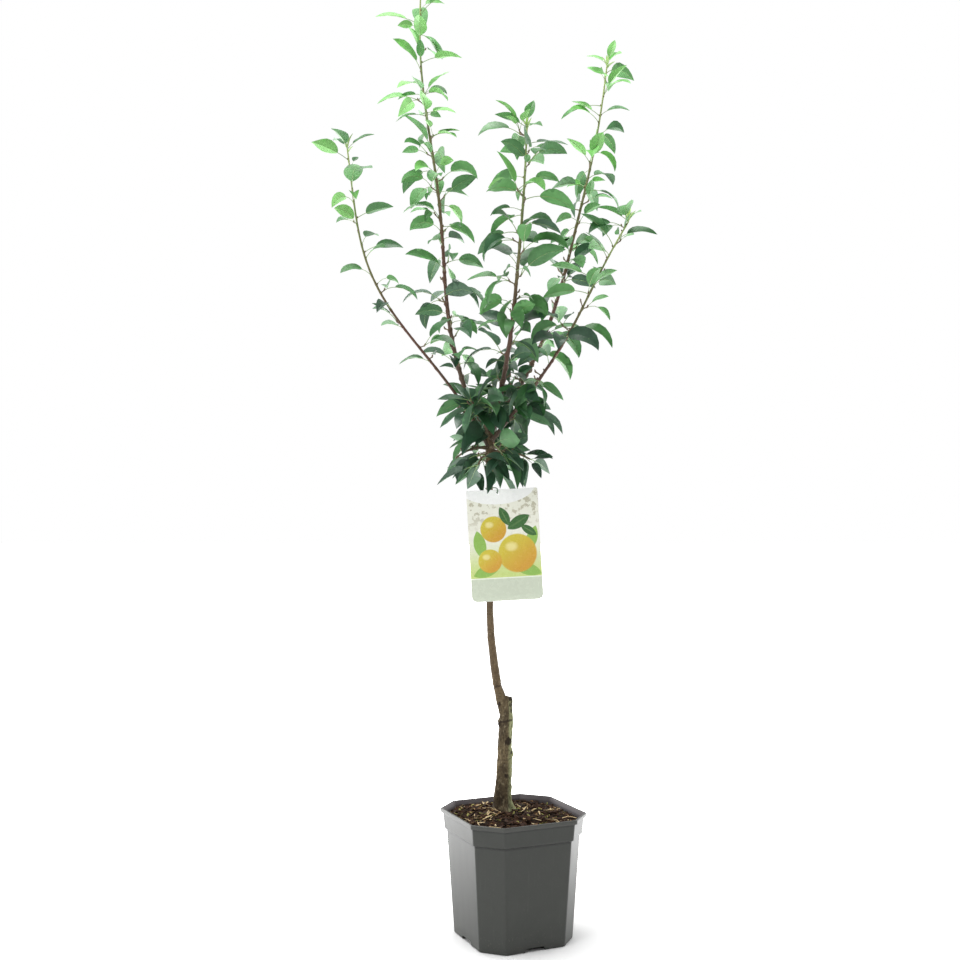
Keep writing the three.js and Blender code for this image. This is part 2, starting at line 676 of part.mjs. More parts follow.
// The leaves and spurs of one mass, node by node up its stem, then the tuft at its tip
function grow(world, mass) {
  const draw = seeded(mass.seed);
  const { at } = stemOf(mass);
  const length = lengthOf(at, 24);
  const grown = { leaves: [], spurs: [], blades: [], stalks: [] };
  const [least, most] = mass.leaves;
  const [shortest, longest] = mass.size;
  let s = mass.step * 0.5 + (TWIGS[mass.on] ? HEAD.bare : 0);
  let az = 360 * draw();
  while (s < length - 3) {
    const onSpur = draw() < mass.spur;
    const count = onSpur ? least + Math.floor(draw() * (most - least + 1)) : 1;
    const here = az + stray(LEAF.wander, draw());
    let root = at(s / length);
    let spur = null;
    let open = true;
    if (onSpur) {
      const reach = between(SPUR.reach, draw());
      const e = between(SPUR.rise, draw()) * RAD;
      const tip = new THREE.Vector3(
        root.x + reach * Math.cos(e) * Math.cos(here * RAD),
        root.y + reach * Math.cos(e) * Math.sin(here * RAD),
        root.z + reach * Math.sin(e),
      );
      spur = [root, tip];
      open = clearOfOthers(world, mass, [root.clone().lerp(tip, 0.5), tip]);
      root = tip;
    }
    let placed = 0;
    for (let k = 0; k < count; k += 1) {
      const u = Array.from({ length: 7 }, draw);
      const size = shortest + (longest - shortest) * u[0];
      const leaf = {
        root,
        length: size,
        width: size * between(LEAF.width, u[1]),
        petiole: between(LEAF.petiole, u[2]) * (onSpur ? SPUR.petiole : 1),
        az: here + (onSpur ? (k - (count - 1) / 2) * SPUR.fan + stray(SPUR.wander, u[3]) : 0),
        rise: mass.rise[0] + stray(2 * mass.rise[1], u[4]) + (k ? SPUR.lift : 0),
        arch: mass.arch[0] + stray(2 * mass.arch[1], u[5]),
        roll: stray(LEAF.roll, u[6]),
        fold: LEAF.fold,
      };
      if (open && settle(world, mass, leaf, grown)) placed += 1;
    }
    if (spur && placed) {
      grown.spurs.push(spur);
      grown.stalks.push(spur[0].clone().lerp(spur[1], 0.5), spur[1]);
    }
    s += mass.step * (0.75 + 0.5 * draw());
    az += SPIRAL;
  }
  for (let k = 0; k < mass.tuft; k += 1) {
    const u = Array.from({ length: 5 }, draw);
    const share = TWIGS[mass.on] ? TUFT.size.twig : TUFT.size.shoot;
    const size = (shortest + (longest - shortest) * u[0]) * share;
    const leaf = {
      root: at(1),
      length: size,
      width: size * between(TUFT.width, u[2]),
      petiole: between(TUFT.petiole, u[3]),
      az: az + (k * 360) / mass.tuft + stray(TUFT.wander, u[4]),
      rise: mass.rise[0] + TUFT.lift + stray(TUFT.spread, u[1]),
      arch: TUFT.arch,
      roll: 0,
      fold: TUFT.fold,
    };
    settle(world, mass, leaf, grown);
  }
  world.leafPoints.push(...grown.blades, ...grown.stalks);
  return grown;
}

// A leaf's solid has three-cornered sections, from the petiole's root to the tip: its two edges and a
// keel under the midrib. The edges stand half as high over the midrib as the fold lifts them, because the
// solid is filled between.
function leafSolid(leaf) {
  const section = (s, half) => {
    const { point, side, normal } = midrib(leaf, s);
    const lift = (half * Math.sin(leaf.fold * RAD)) / 2;
    const edge = (sign) => point.clone().addScaledVector(side, sign * half).addScaledVector(normal, lift);
    return [edge(1), edge(-1), point.clone().addScaledVector(normal, -FORM.thickness)];
  };
  const rings = [section(0, FORM.petioleHalf), section(leaf.petiole, FORM.petioleHalf)];
  for (const u of FORM.blade) rings.push(section(leaf.petiole + leaf.length * u, bladeHalf(leaf, u)));
  rings.push([midrib(leaf, leaf.petiole + leaf.length).point]);
  return solidOf(loft(rings));
}

// A spur runs a little past the roots of its leaves and ends in a thick knob round them.
function spurSolid([foot, tip]) {
  return limb({
    at: (t) => foot.clone().lerp(tip, t),
    radiusAt: (t) => KNOB.r[0] + (KNOB.r[1] - KNOB.r[0]) * t,
    across: new THREE.Vector3(0, 0, 1),
    from: 0,
    to: 1 + KNOB.past / foot.distanceTo(tip),
    steps: 1,
    sides: 4,
  });
}

// A mass: its stem, spurs and leaves fused, and cut clear of the limbs that its foot is seated on
function massSolid(mass, grown, seats) {
  const stem = stemOf(mass);
  const length = lengthOf(stem.at, 24);
  const start = SHOOTS[mass.on] ? GAP / length : 0;
  let solid = limb({
    ...stem,
    radiusAt: (t) => Math.max(stem.radiusAt(t), STEM.least),
    from: start,
    to: 1,
    steps: Math.max(2, Math.round(length / STEM.step)),
    sides: 4,
    bud: mass.span[1] === 1 ? STEM.bud : 0,
  });
  for (const spur of grown.spurs) solid = solid.add(spurSolid(spur));
  for (const leaf of grown.leaves) solid = solid.add(leafSolid(leaf));
  for (const seat of seats) solid = solid.subtract(seat);
  return solid;
}

// The card: a plate with small upper and large lower corner rounds and a hole near its top
function buildCard() {
  const { width, height, thickness, topRadius, bottomRadius, hole } = CARD;
  const [x, y] = [width / 2, height / 2];
  const outline = new THREE.Shape();
  outline.moveTo(-x + bottomRadius, -y);
  outline.lineTo(x - bottomRadius, -y);
  outline.absarc(x - bottomRadius, -y + bottomRadius, bottomRadius, -Math.PI / 2, 0, false);
  outline.lineTo(x, y - topRadius);
  outline.absarc(x - topRadius, y - topRadius, topRadius, 0, Math.PI / 2, false);
  outline.lineTo(-x + topRadius, y);
  outline.absarc(-x + topRadius, y - topRadius, topRadius, Math.PI / 2, Math.PI, false);
  outline.lineTo(-x, -y + bottomRadius);
  outline.absarc(-x + bottomRadius, -y + bottomRadius, bottomRadius, Math.PI, 1.5 * Math.PI, false);
  const eye = new THREE.Path();
  eye.absarc(hole.x, y - hole.drop, hole.r, 0, 2 * Math.PI, true);
  outline.holes.push(eye);
  const options = { depth: thickness, bevelEnabled: false, curveSegments: 3 };
  const plate = new THREE.ExtrudeGeometry(outline, options);
  plate.rotateX(Math.PI / 2);
  return solidOf(plate);
}

// Where the card's hole is once the card hangs
function holePlace() {
  const { height, thickness, middle, lean, hole } = CARD;
  return new THREE.Vector3(hole.x, -thickness / 2, height / 2 - hole.drop)
    .applyAxisAngle(new THREE.Vector3(0, 1, 0), lean * RAD)
    .add(new THREE.Vector3(...middle));
}

// The tie: a thin closed loop from the hole over the card's top edge and round the stem
function buildTie() {
  const hole = holePlace();
  const reach = TIE.stem.r + TIE.r + TIE.room;
  const over = hole.z + CARD.hole.drop + GAP + TIE.r;
  const roundStem = TIE.bends.map((degrees, i) => {
    const share = i / (TIE.bends.length - 1);
    return new THREE.Vector3(
      TIE.stem.x + reach * Math.cos(degrees * RAD),
      TRUNK_Y + reach * Math.sin(degrees * RAD),
      over + 1.4 - TIE.fall * share ** 2,
    );
  });
  const front = new THREE.Vector3(-0.3, -2.6, 3.2).add(hole);
  const above = new THREE.Vector3(hole.x - 1.2, hole.y - 0.6, over + 0.9);
  const back = new THREE.Vector3(0, 3.4, 0.5).add(hole);
  const path = new THREE.CatmullRomCurve3([hole, front, above, ...roundStem, back], true);
  const frames = path.computeFrenetFrames(TIE.steps, true);
  const positions = [];
  for (let i = 0; i < TIE.steps; i += 1) {
    const centre = path.getPointAt(i / TIE.steps);
    for (let j = 0; j < TIE.sides; j += 1) {
      const a = (2 * Math.PI * j) / TIE.sides;
      const p = centre
        .clone()
        .addScaledVector(frames.normals[i], TIE.r * Math.cos(a))
        .addScaledVector(frames.binormals[i], TIE.r * Math.sin(a));
      positions.push(p.x, p.y, p.z);
    }
  }
  const faces = [];
  for (let i = 0; i < TIE.steps; i += 1) {
    const low = i * TIE.sides;
    const high = ((i + 1) % TIE.steps) * TIE.sides;
    for (let j = 0; j < TIE.sides; j += 1) {
      const next = (j + 1) % TIE.sides;
      faces.push(low + j, low + next, high + next, low + j, high + next, high + j);
    }
  }
  const geometry = new THREE.BufferGeometry();
  geometry.setAttribute("position", new THREE.Float32BufferAttribute(positions, 3));
  geometry.setIndex(faces);
  return solidOf(geometry);
}

// The whole plant
const group = new THREE.Group();

const potGroup = new THREE.Group();
potGroup.rotation.z = POT.turn * RAD;
potGroup.add(meshOf(buildPot(), "pot", finish(COLOURS.pot, 0.5)));
potGroup.add(meshOf(buildSoil(), "potting_soil", finish(COLOURS.soil, 0.95)));
group.add(potGroup);

group.add(meshOf(trunkSolid(), "trunk", finish(COLOURS.bark, 0.85)));

// Each bough is cut clear of the trunk's head and of the boughs before it.
const seats = [trunkSolid(GAP)];
for (const name of Object.keys(SHOOTS)) {
  let bough = boughSolid(name);
  for (const seat of seats) bough = bough.subtract(seat);
  group.add(meshOf(bough, `bough_${name}`, finish(COLOURS.shoot, 0.7)));
  seats.push(boughSolid(name, GAP));
}

const crown = surroundings();
for (const mass of MASSES) {
  const solid = massSolid(mass, grow(crown, mass), seats.slice(0, TWIGS[mass.on] ? seats.length : 1));
  group.add(meshOf(solid, `leaves_${mass.name}`, leafFinish(stemOf(mass).at(0.5).z)));
}

const cardGroup = new THREE.Group();
cardGroup.position.set(...CARD.middle);
cardGroup.rotation.y = CARD.lean * RAD;
cardGroup.add(meshOf(buildCard(), "picture_card", finish(COLOURS.card, 0.35)));
group.add(cardGroup);
group.add(meshOf(buildTie(), "card_tie", finish(COLOURS.tie, 0.6)));

export default group;
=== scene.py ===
"""The looks of a young grafted pear tree in its nursery pot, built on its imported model.

Sizes are millimetres, as in the part's source, until make_piece turns them into metres. +Z is up, the pot
stands on z = 0, and the card faces -Y. The crown's leaves grow by the source's rule from the source's
seeds, and the same rule is then carried on to finer twigs with smaller leaves.
"""

import logging
import math
from dataclasses import dataclass, field, replace
from enum import Enum
from functools import cached_property
from typing import Callable, Optional, Sequence, Union

import bpy
import numpy as np
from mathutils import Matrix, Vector

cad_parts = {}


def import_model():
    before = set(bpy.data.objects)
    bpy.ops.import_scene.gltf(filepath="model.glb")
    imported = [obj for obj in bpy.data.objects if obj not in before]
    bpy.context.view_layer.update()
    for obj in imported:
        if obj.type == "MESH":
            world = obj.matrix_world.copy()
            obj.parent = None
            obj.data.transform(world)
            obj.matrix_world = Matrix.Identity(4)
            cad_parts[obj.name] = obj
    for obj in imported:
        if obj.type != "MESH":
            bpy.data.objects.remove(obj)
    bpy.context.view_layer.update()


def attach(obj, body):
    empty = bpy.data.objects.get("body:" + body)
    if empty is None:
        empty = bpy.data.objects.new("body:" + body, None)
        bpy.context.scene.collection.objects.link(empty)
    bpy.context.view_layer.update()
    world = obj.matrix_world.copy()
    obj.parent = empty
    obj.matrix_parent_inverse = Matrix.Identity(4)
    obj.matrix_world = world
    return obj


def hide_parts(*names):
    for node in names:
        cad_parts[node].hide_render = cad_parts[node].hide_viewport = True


LOG = logging.getLogger("pear_tree")
MM = 0.001
BODY = "root"
SURFACE_MAP = "surface"
WORD = 0xFFFFFFFF

Array = np.ndarray
Colour = tuple[float, float, float]
Point = tuple[float, float, float]
Pair = tuple[float, float]
Key = Union[str, int]


def smooth(value: Array, low: float, high: float) -> Array:
    """A share that goes from 0 at low to 1 at high with level ends: 3 t^2 - 2 t^3."""
    t = np.clip((value - low) / (high - low), 0, 1)
    return t * t * (3 - 2 * t)


def unit(vectors: Array) -> Array:
    """Vectors divided by their own length."""
    return vectors / np.linalg.norm(vectors, axis=-1, keepdims=True)


def on_circle(angle: Array) -> Array:
    """Points at angles in radians on a circle of radius 1."""
    return np.stack([np.cos(angle), np.sin(angle)], -1)


def turned(x: Array, y: Array, degrees: float) -> tuple[Array, Array]:
    """x and y turned anticlockwise about the origin."""
    cos, sin = math.cos(math.radians(degrees)), math.sin(math.radians(degrees))
    return x * cos - y * sin, x * sin + y * cos


def level_way(azimuth: float) -> Array:
    """The level direction at an azimuth in degrees, of length 1."""
    a = math.radians(azimuth)
    return np.array([math.cos(a), math.sin(a), 0])


def cloud(points: Array, size: Union[float, Sequence[float]], seed: int = 0) -> Array:
    """Smooth noise between -1 and 1.

    Each corner of a lattice holds a number hashed from its whole coordinates. A point takes the mix of the
    eight corners round it, by 3 t^2 - 2 t^3 along each axis.

    Args:
        points: Any array of points, the axes last.
        size: The lattice's cell, one length or one for each axis.
        seed: Gives another pattern.

    Returns:
        One number for each point.
    """
    scaled = points / np.asarray(size, float)
    cell = np.floor(scaled).astype(np.int64)
    t = scaled - cell
    t = t * t * (3 - 2 * t)
    total = np.zeros(points.shape[:-1])
    for corner in np.ndindex(2, 2, 2):
        lattice = cell + np.array(corner)
        mixed = lattice[..., 0] * 73856093 ^ lattice[..., 1] * 19349663 ^ lattice[..., 2] * 83492791
        mixed = ((mixed ^ seed * 2654435761) * 2246822519) & WORD
        mixed = ((mixed ^ mixed >> 15) * 3266489917) & WORD
        value = (mixed ^ mixed >> 13) / 2147483648.0 - 1
        total += value * np.where(corner, t, 1 - t).prod(axis=-1)
    return total


def rough(points: Array, size: float, octaves: int, seed: int = 0) -> Array:
    """Noise with finer noise on it: each octave has half the cell and half the height of the last."""
    layers = [cloud(points, size / 2**k, seed + k) / 2**k for k in range(octaves)]
    return np.sum(layers, axis=0)


# Meshes

@dataclass
class Shape:
    """Points in millimetres and faces as arrays of point numbers, each array with one count of corners."""

    points: Array
    faces: list[Array]
    slots: Optional[list[Array]] = None
    uv: Optional[Array] = None

    @staticmethod
    def joined(shapes: "Sequence[Shape]") -> "Shape":
        """Several shapes as one, each with its points numbered on from the last."""
        starts = np.cumsum([0] + [len(s.points) for s in shapes])
        faces = [f + start for s, start in zip(shapes, starts) for f in s.faces]
        slots = [slot for s in shapes for slot in (s.slots or [np.zeros(len(f), int) for f in s.faces])]
        return Shape(np.concatenate([s.points for s in shapes]), faces, slots)


def fill_mesh(mesh: bpy.types.Mesh, shape: Shape) -> None:
    """Writes a shape's points in metres, its faces with their slots, and its map into an empty mesh."""
    corners = np.concatenate([f.ravel() for f in shape.faces]).astype(np.int32)
    counts = np.concatenate([np.full(len(f), f.shape[1]) for f in shape.faces])
    mesh.vertices.add(len(shape.points))
    mesh.vertices.foreach_set("co", (shape.points * MM).astype(np.float32).ravel())
    mesh.loops.add(len(corners))
    mesh.loops.foreach_set("vertex_index", corners)
    mesh.polygons.add(len(counts))
    mesh.polygons.foreach_set("loop_start", (np.cumsum(counts) - counts).astype(np.int32))
    mesh.update(calc_edges=True)
    if shape.slots is not None:
        mesh.polygons.foreach_set("material_index", np.concatenate(shape.slots).astype(np.int32))
    if shape.uv is not None:
        layer = mesh.uv_layers.new(name=SURFACE_MAP)
        layer.data.foreach_set("uv", shape.uv[corners].astype(np.float32).ravel())
    mesh.polygons.foreach_set("use_smooth", np.ones(len(counts), bool))


def put_in(name: str, data: bpy.types.ID) -> bpy.types.Object:
    """A new object with that data, linked to the scene."""
    made = bpy.data.objects.new(name, data)
    bpy.context.scene.collection.objects.link(made)
    return made


def make_piece(
    name: str, shape: Shape, finishes: "Sequence[Finish]", crease: float = 180
) -> bpy.types.Object:
    """A mesh object at the origin, its place in its mesh.

    Args:
        name: The piece's name.
        shape: Its points and faces.
        finishes: Its material slots, in order.
        crease: Edges that turn by more degrees than this are sharp, and all others are smooth.

    Returns:
        The object, linked to the scene.
    """
    mesh = bpy.data.meshes.new(name)
    fill_mesh(mesh, shape)
    if crease < 180:
        mesh.set_sharp_from_angle(angle=math.radians(crease))
    if mesh.validate():
        LOG.warning("%s had faces that Blender mended", name)
    for finish in finishes:
        mesh.materials.append(finish.material())
    return put_in(name, mesh)


def add_piece(
    name: str,
    shape: Shape,
    finishes: "Sequence[Finish]",
    nodes: Sequence[str] = (),
    crease: float = 180,
) -> None:
    """Makes a piece, puts it on the body and reports it.

    Args:
        name: The piece's name.
        shape: Its points and faces.
        finishes: Its material slots, in order.
        nodes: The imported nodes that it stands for.
        crease: Edges that turn by more degrees than this are sharp.
    """
    piece = make_piece(name, shape, finishes, crease)
    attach(piece, BODY)
    if nodes:
        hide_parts(*nodes)
    piece.data.calc_loop_triangles()
    LOG.info("%-22s %7d triangles", piece.name, len(piece.data.loop_triangles))


def grid_faces(rows: int, columns: int, wrap: bool = True, close: bool = False) -> Array:
    """The four-cornered faces of a grid numbered row by row.

    Args:
        rows: The grid's rows.
        columns: The points in a row.
        wrap: Whether the last column joins the first.
        close: Whether the last row joins the first.

    Returns:
        The faces' point numbers, row by row.
    """
    row = np.arange(rows if close else rows - 1)[:, None]
    column = np.arange(columns if wrap else columns - 1)[None, :]
    low, high = row * columns, (row + 1) % rows * columns
    after = (column + 1) % columns
    return np.stack([low + column, low + after, high + after, high + column], -1).reshape(-1, 4)


def fan_faces(middle: int, ring: Array) -> Array:
    """Triangles from a middle point to a closed ring of points."""
    return np.stack([np.full(len(ring), middle), ring, np.roll(ring, -1)], -1)


def capped_faces(rows: int, sides: int, flip: bool = False) -> list[Array]:
    """A closed body's faces: a grid of rings, and at each end a fan to a point numbered after the grid's.

    Args:
        rows: The rings.
        sides: The points in a ring.
        flip: Whether the faces turn the other way round.

    Returns:
        The walls, the first ring's fan and the last ring's fan.
    """
    first = np.arange(sides)
    last = (rows - 1) * sides + first
    way = -1 if flip else 1
    return [
        grid_faces(rows, sides)[:, ::way],
        fan_faces(rows * sides, first[::-way]),
        fan_faces(rows * sides + 1, last[::way]),
    ]


def capped(rings: Array, ends: Sequence[Sequence[float]], flip: bool = False) -> Shape:
    """A closed body from rings of points and a point at each end."""
    return Shape(np.concatenate([rings.reshape(-1, 3), ends]), capped_faces(*rings.shape[:2], flip))


def alike(points: Array, parts: Sequence[Array]) -> Shape:
    """Many bodies with the same faces as one shape, from points of shape (bodies, points, 3)."""
    starts = (np.arange(len(points)) * points.shape[1])[:, None, None]
    return Shape(points.reshape(-1, 3), [(part + starts).reshape(-1, part.shape[1]) for part in parts])


def surface_map(rows: int, sides: int) -> Array:
    """A map of a tube: from 1 to 0 and back round it, and from 0 to 1 along it."""
    around, along = np.abs(np.linspace(-1, 1, sides)), np.linspace(0, 1, rows)[:, None]
    return np.stack(np.broadcast_arrays(around, along), -1).reshape(-1, 2)


def rings_about(path: Array, radii: Array, sides: int, across: Array) -> Array:
    """Rings square to a path.

    The first corner of a ring lies where across, less its share along the path, points. The others follow
    at even angles, anticlockwise about the path's direction.

    Args:
        path: Points of shape (..., rings, 3).
        radii: Radii that match (..., rings) or (..., rings, sides).
        sides: Corners to a ring.
        across: The direction that settles the first corner, of shape (3,) or (..., 1, 3).

    Returns:
        Points of shape (..., rings, sides, 3).
    """
    along = unit(np.gradient(path, axis=-2))
    out = unit(across - along * (along * across).sum(-1, keepdims=True))
    up = np.cross(along, out)
    angle = np.arange(sides) * 2 * math.pi / sides
    reach = radii[..., None] if radii.ndim < path.ndim else radii
    way = out[..., None, :] * np.cos(angle)[:, None] + up[..., None, :] * np.sin(angle)[:, None]
    return path[..., None, :] + way * reach[..., None]


def tube(path: Array, radii: Array, sides: int, across: Array, tip: float = 0) -> Shape:
    """A closed tapering tube along a path, each end a fan to a point, the last one tip millimetres on."""
    points = rings_about(path, radii, sides, across)
    along = unit(np.gradient(path, axis=0))
    shape = capped(points, [path[0], path[-1] + along[-1] * tip])
    shape.uv = np.concatenate([surface_map(len(path), sides), [[0, 0], [0, 1]]])
    return shape


def many_tubes(paths: Array, radii: Array, sides: int, across: Array) -> Shape:
    """Many closed tubes of the same counts in one shape, from paths of shape (tubes, rings, 3)."""
    tubes, rings, _ = paths.shape
    points = rings_about(paths, radii, sides, across)
    per = rings * sides
    low, high = np.arange(sides)[None, ::-1], np.arange(per - sides, per)[None]
    return alike(points.reshape(tubes, per, 3), (grid_faces(rings, sides), low, high))


# Shaders

MIX_COLOURS = (6, 7)  # the numbers of a Mix node's colour inputs, and of its colour output
MIX_RESULT = 2
SPOT_CORE = 0.55  # the share of a spot's reach where it is at its fullest


def maths_method(operation: str, swapped: bool = False) -> "Callable[..., Socket]":
    """A method of Socket: a Math node on its own value and any other, or with the two swapped."""

    def method(value: "Socket", *others: "Union[Socket, float]") -> "Socket":
        """The result of the Math node."""
        values = (*others, value) if swapped else (value, *others)
        return value.nodes.node("ShaderNodeMath", {"operation": operation}, dict(enumerate(values)))

    return method


class Socket:
    """A value, colour or vector in a tree of nodes. Sums and products of values add their Math nodes."""

    def __init__(self, nodes: "Nodes", output: bpy.types.NodeSocket) -> None:
        """Wraps the output socket of one of the nodes."""
        self.nodes = nodes
        self.output = output

    __add__ = __radd__ = maths_method("ADD")
    __mul__ = __rmul__ = maths_method("MULTIPLY")
    __sub__ = maths_method("SUBTRACT")
    __rsub__ = maths_method("SUBTRACT", swapped=True)
    __truediv__ = maths_method("DIVIDE")
    __pow__ = maths_method("POWER")
    larger = maths_method("MAXIMUM")
    size = maths_method("ABSOLUTE")
    sine = maths_method("SINE")

    def between(self, low: float, high: float) -> "Socket":
        """A share that goes smoothly from 0 at low to 1 at high. low may be the larger."""
        settings = {"interpolation_type": "SMOOTHSTEP"}
        inputs = {"Value": self, "From Min": low, "From Max": high}
        return self.nodes.node("ShaderNodeMapRange", settings, inputs)


class Nodes:
    """The nodes of one tree."""

    def __init__(self, tree: bpy.types.NodeTree) -> None:
        """Works on that tree."""
        self.tree = tree

    def node(
        self, kind: str, settings: Optional[dict] = None, inputs: Optional[dict] = None, output: Key = 0
    ) -> Socket:
        """Any node of the tree.

        Args:
            kind: The node's type.
            settings: Its own settings, set first. "stops" are a ramp's places and colours.
            inputs: The values or links of its sockets, by name or number.
            output: The name or number of the output that is given back.

        Returns:
            That output as a Socket.
        """
        made = self.tree.nodes.new(kind)
        for name, value in (settings or {}).items():
            if name == "stops":
                self.set_stops(made.color_ramp, value)
            else:
                setattr(made, name, value)
        for name, value in (inputs or {}).items():
            if isinstance(value, Socket):
                self.tree.links.new(value.output, made.inputs[name])
            else:
                made.inputs[name].default_value = value
        return Socket(self, made.outputs[output])

    @staticmethod
    def set_stops(ramp: bpy.types.ColorRamp, stops: Sequence[tuple[float, Colour]]) -> None:
        """Gives a ramp its places and colours."""
        while len(ramp.elements) < len(stops):
            ramp.elements.new(1)
        for element, (place, colour) in zip(ramp.elements, stops):
            element.position = place
            element.color = (*colour, 1)

    def axes(self, vector: Socket) -> tuple[Socket, Socket, Socket]:
        """A vector's three parts."""
        first = self.node("ShaderNodeSeparateXYZ", inputs={0: vector})
        return tuple(Socket(self, output) for output in first.output.node.outputs)


class Shader(Nodes):
    """One material's nodes, ending in a Principled surface."""

    def __init__(self, name: str) -> None:
        """Starts an empty material of that name."""
        self.material = bpy.data.materials.new(name)
        self.material.use_nodes = True
        super().__init__(self.material.node_tree)
        self.tree.nodes.clear()

    @cached_property
    def at(self) -> Socket:
        """The place in the object's own metres."""
        return self.node("ShaderNodeTexCoord", output="Object")

    def surface_axes(self) -> tuple[Socket, Socket]:
        """The two parts of the piece's own map."""
        return self.axes(self.node("ShaderNodeUVMap", {"uv_map": SURFACE_MAP}))[:2]

    def stretched(self, scale: Point) -> Socket:
        """The place with its axes scaled, so that a pattern is stretched."""
        return self.node("ShaderNodeVectorMath", {"operation": "MULTIPLY"}, {0: self.at, 1: scale})

    def noise(self, scale: Union[float, Point], detail: float = 3, roughness: float = 0.55) -> Socket:
        """Noise about 0.5 whose features are 1 / scale metres apart, with one scale or one for each axis."""
        at, scale = (self.stretched(scale), 1) if isinstance(scale, tuple) else (self.at, scale)
        inputs = {"Vector": at, "Scale": scale, "Detail": detail, "Roughness": roughness}
        return self.node("ShaderNodeTexNoise", None, inputs, "Fac")

    def specks(self, scale: Point) -> Socket:
        """The distance from the nearest of many scattered points, in cells of 1 / scale metres."""
        inputs = {"Vector": self.stretched(scale), "Scale": 1}
        return self.node("ShaderNodeTexVoronoi", {"feature": "F1"}, inputs, "Distance")

    def near(self, spot: Point, reach: float, stray: Union[Socket, float] = 0) -> Socket:
        """1 near a spot, 0 beyond its reach, both in millimetres, with a stray in metres on the distance."""
        inputs = {0: self.at, 1: tuple(MM * v for v in spot)}
        away = self.node("ShaderNodeVectorMath", {"operation": "DISTANCE"}, inputs, "Value")
        return (away + stray).between(MM * reach, MM * reach * SPOT_CORE)

    def mix(self, share: Union[Socket, float], a: Union[Socket, Colour], b: Union[Socket, Colour]) -> Socket:
        """The colour that goes from a to b with share."""
        inputs = {0: share}
        for number, colour in zip(MIX_COLOURS, (a, b)):
            inputs[number] = colour if isinstance(colour, Socket) else (*colour, 1)
        return self.node("ShaderNodeMix", {"data_type": "RGBA"}, inputs, MIX_RESULT)

    def bump(self, height: Socket, depth: float, strength: float = 1.0) -> Socket:
        """A normal from a height between 0 and 1 that stands for depth metres."""
        inputs = {"Height": height, "Distance": depth, "Strength": strength}
        return self.node("ShaderNodeBump", None, inputs, "Normal")

    def surface(self, **inputs: Union[Socket, float, tuple]) -> bpy.types.Material:
        """Ends the material in a Principled surface, whose sockets are named with _ for a space."""
        named = {}
        for name, value in inputs.items():
            colour = name.endswith("Color") and not isinstance(value, Socket)
            named[name.replace("_", " ")] = (*value, 1) if colour else value
        skin = self.node("ShaderNodeBsdfPrincipled", None, named)
        end = self.tree.nodes.new("ShaderNodeOutputMaterial")
        self.tree.links.new(skin.output, end.inputs["Surface"])
        return self.material


# Finishes

@dataclass(frozen=True)
class Finish:
    """A finish, whose material is made once and found again by its name."""

    name: str

    def material(self) -> bpy.types.Material:
        """The finish's material, built the first time that it is asked for."""
        return bpy.data.materials.get(self.name) or self.dress(Shader(self.name))

    def dress(self, shader: Shader) -> bpy.types.Material:
        """Builds the finish's nodes, which each kind of finish does in its own way."""
        raise NotImplementedError


@dataclass(frozen=True)
class PotPlastic(Finish):
    """Dark grey moulded plastic: faint flow marks and wear, a lip lightened as a painted highlight, dust near
    the ground, dark marks, and painted shade in the creases under the rim and the band.

    marks are places and reaches, and crease_shades are levels and how far below them the painted shade
    reaches, all in millimetres. lip, the span lightened as a painted highlight, and ground are levels in
    metres.
    """

    body: Colour = (0.025, 0.028, 0.023)
    # The colour of the worn streaks, and also of the painted highlight on the lip.
    wear_and_lip_highlight: Colour = (0.048, 0.050, 0.044)
    dust: Colour = (0.16, 0.15, 0.12)
    mark: Colour = (0.012, 0.012, 0.011)
    # The colour of the painted shade in the creases under the rim and the band.
    crease: Colour = (0.006, 0.006, 0.006)
    roughness: float = 0.34
    marks: tuple[tuple[Point, float], ...] = ()
    crease_shades: tuple[Pair, ...] = ()
    lip: Pair = (0.1905, 0.1915)
    ground: Pair = (0.045, 0.0)

    def dress(self, shader: Shader) -> bpy.types.Material:
        """Mixes the body with worn streaks, a painted highlight on the lip, dust, dark marks and painted
        crease shade, and bumps it with a fine moulded grain.
        """
        height = shader.axes(shader.at)[2]
        clouds = shader.noise(22, 4)
        streaks = shader.noise((260, 260, 16), 5, 0.65)
        grains = shader.noise(420, 3)
        wear_and_lip_highlight = clouds.between(0.42, 0.72) * 0.2 + streaks.between(0.56, 0.76) * 0.3
        # Painted highlight: the lip is lightened where light from above falls on it.
        wear_and_lip_highlight = wear_and_lip_highlight + height.between(*self.lip) * 0.8
        dusty = grains.between(0.60, 0.76) * (0.10 + 0.5 * height.between(*self.ground))
        colour = shader.mix(dusty, shader.mix(wear_and_lip_highlight, self.body, self.wear_and_lip_highlight), self.dust)
        for spot, reach in self.marks:
            colour = shader.mix(shader.near(spot, reach), colour, self.mark)
        # Painted shade: a dark band just under the rim and under the band, where their overhangs shade the
        # wall.
        for top, reach in self.crease_shades:
            below = height.between(MM * (top - reach), MM * top)
            share = below * height.between(MM * (top + 0.4), MM * top)
            colour = shader.mix(share * 0.85, colour, self.crease)
        rough_share = self.roughness + clouds * 0.12 + dusty * 0.5
        grain = shader.noise(1300, 2) * 0.5 + streaks * 0.5
        normal = shader.bump(grain, 0.12 * MM, 0.5)
        return shader.surface(Base_Color=colour, Roughness=rough_share, Normal=normal)


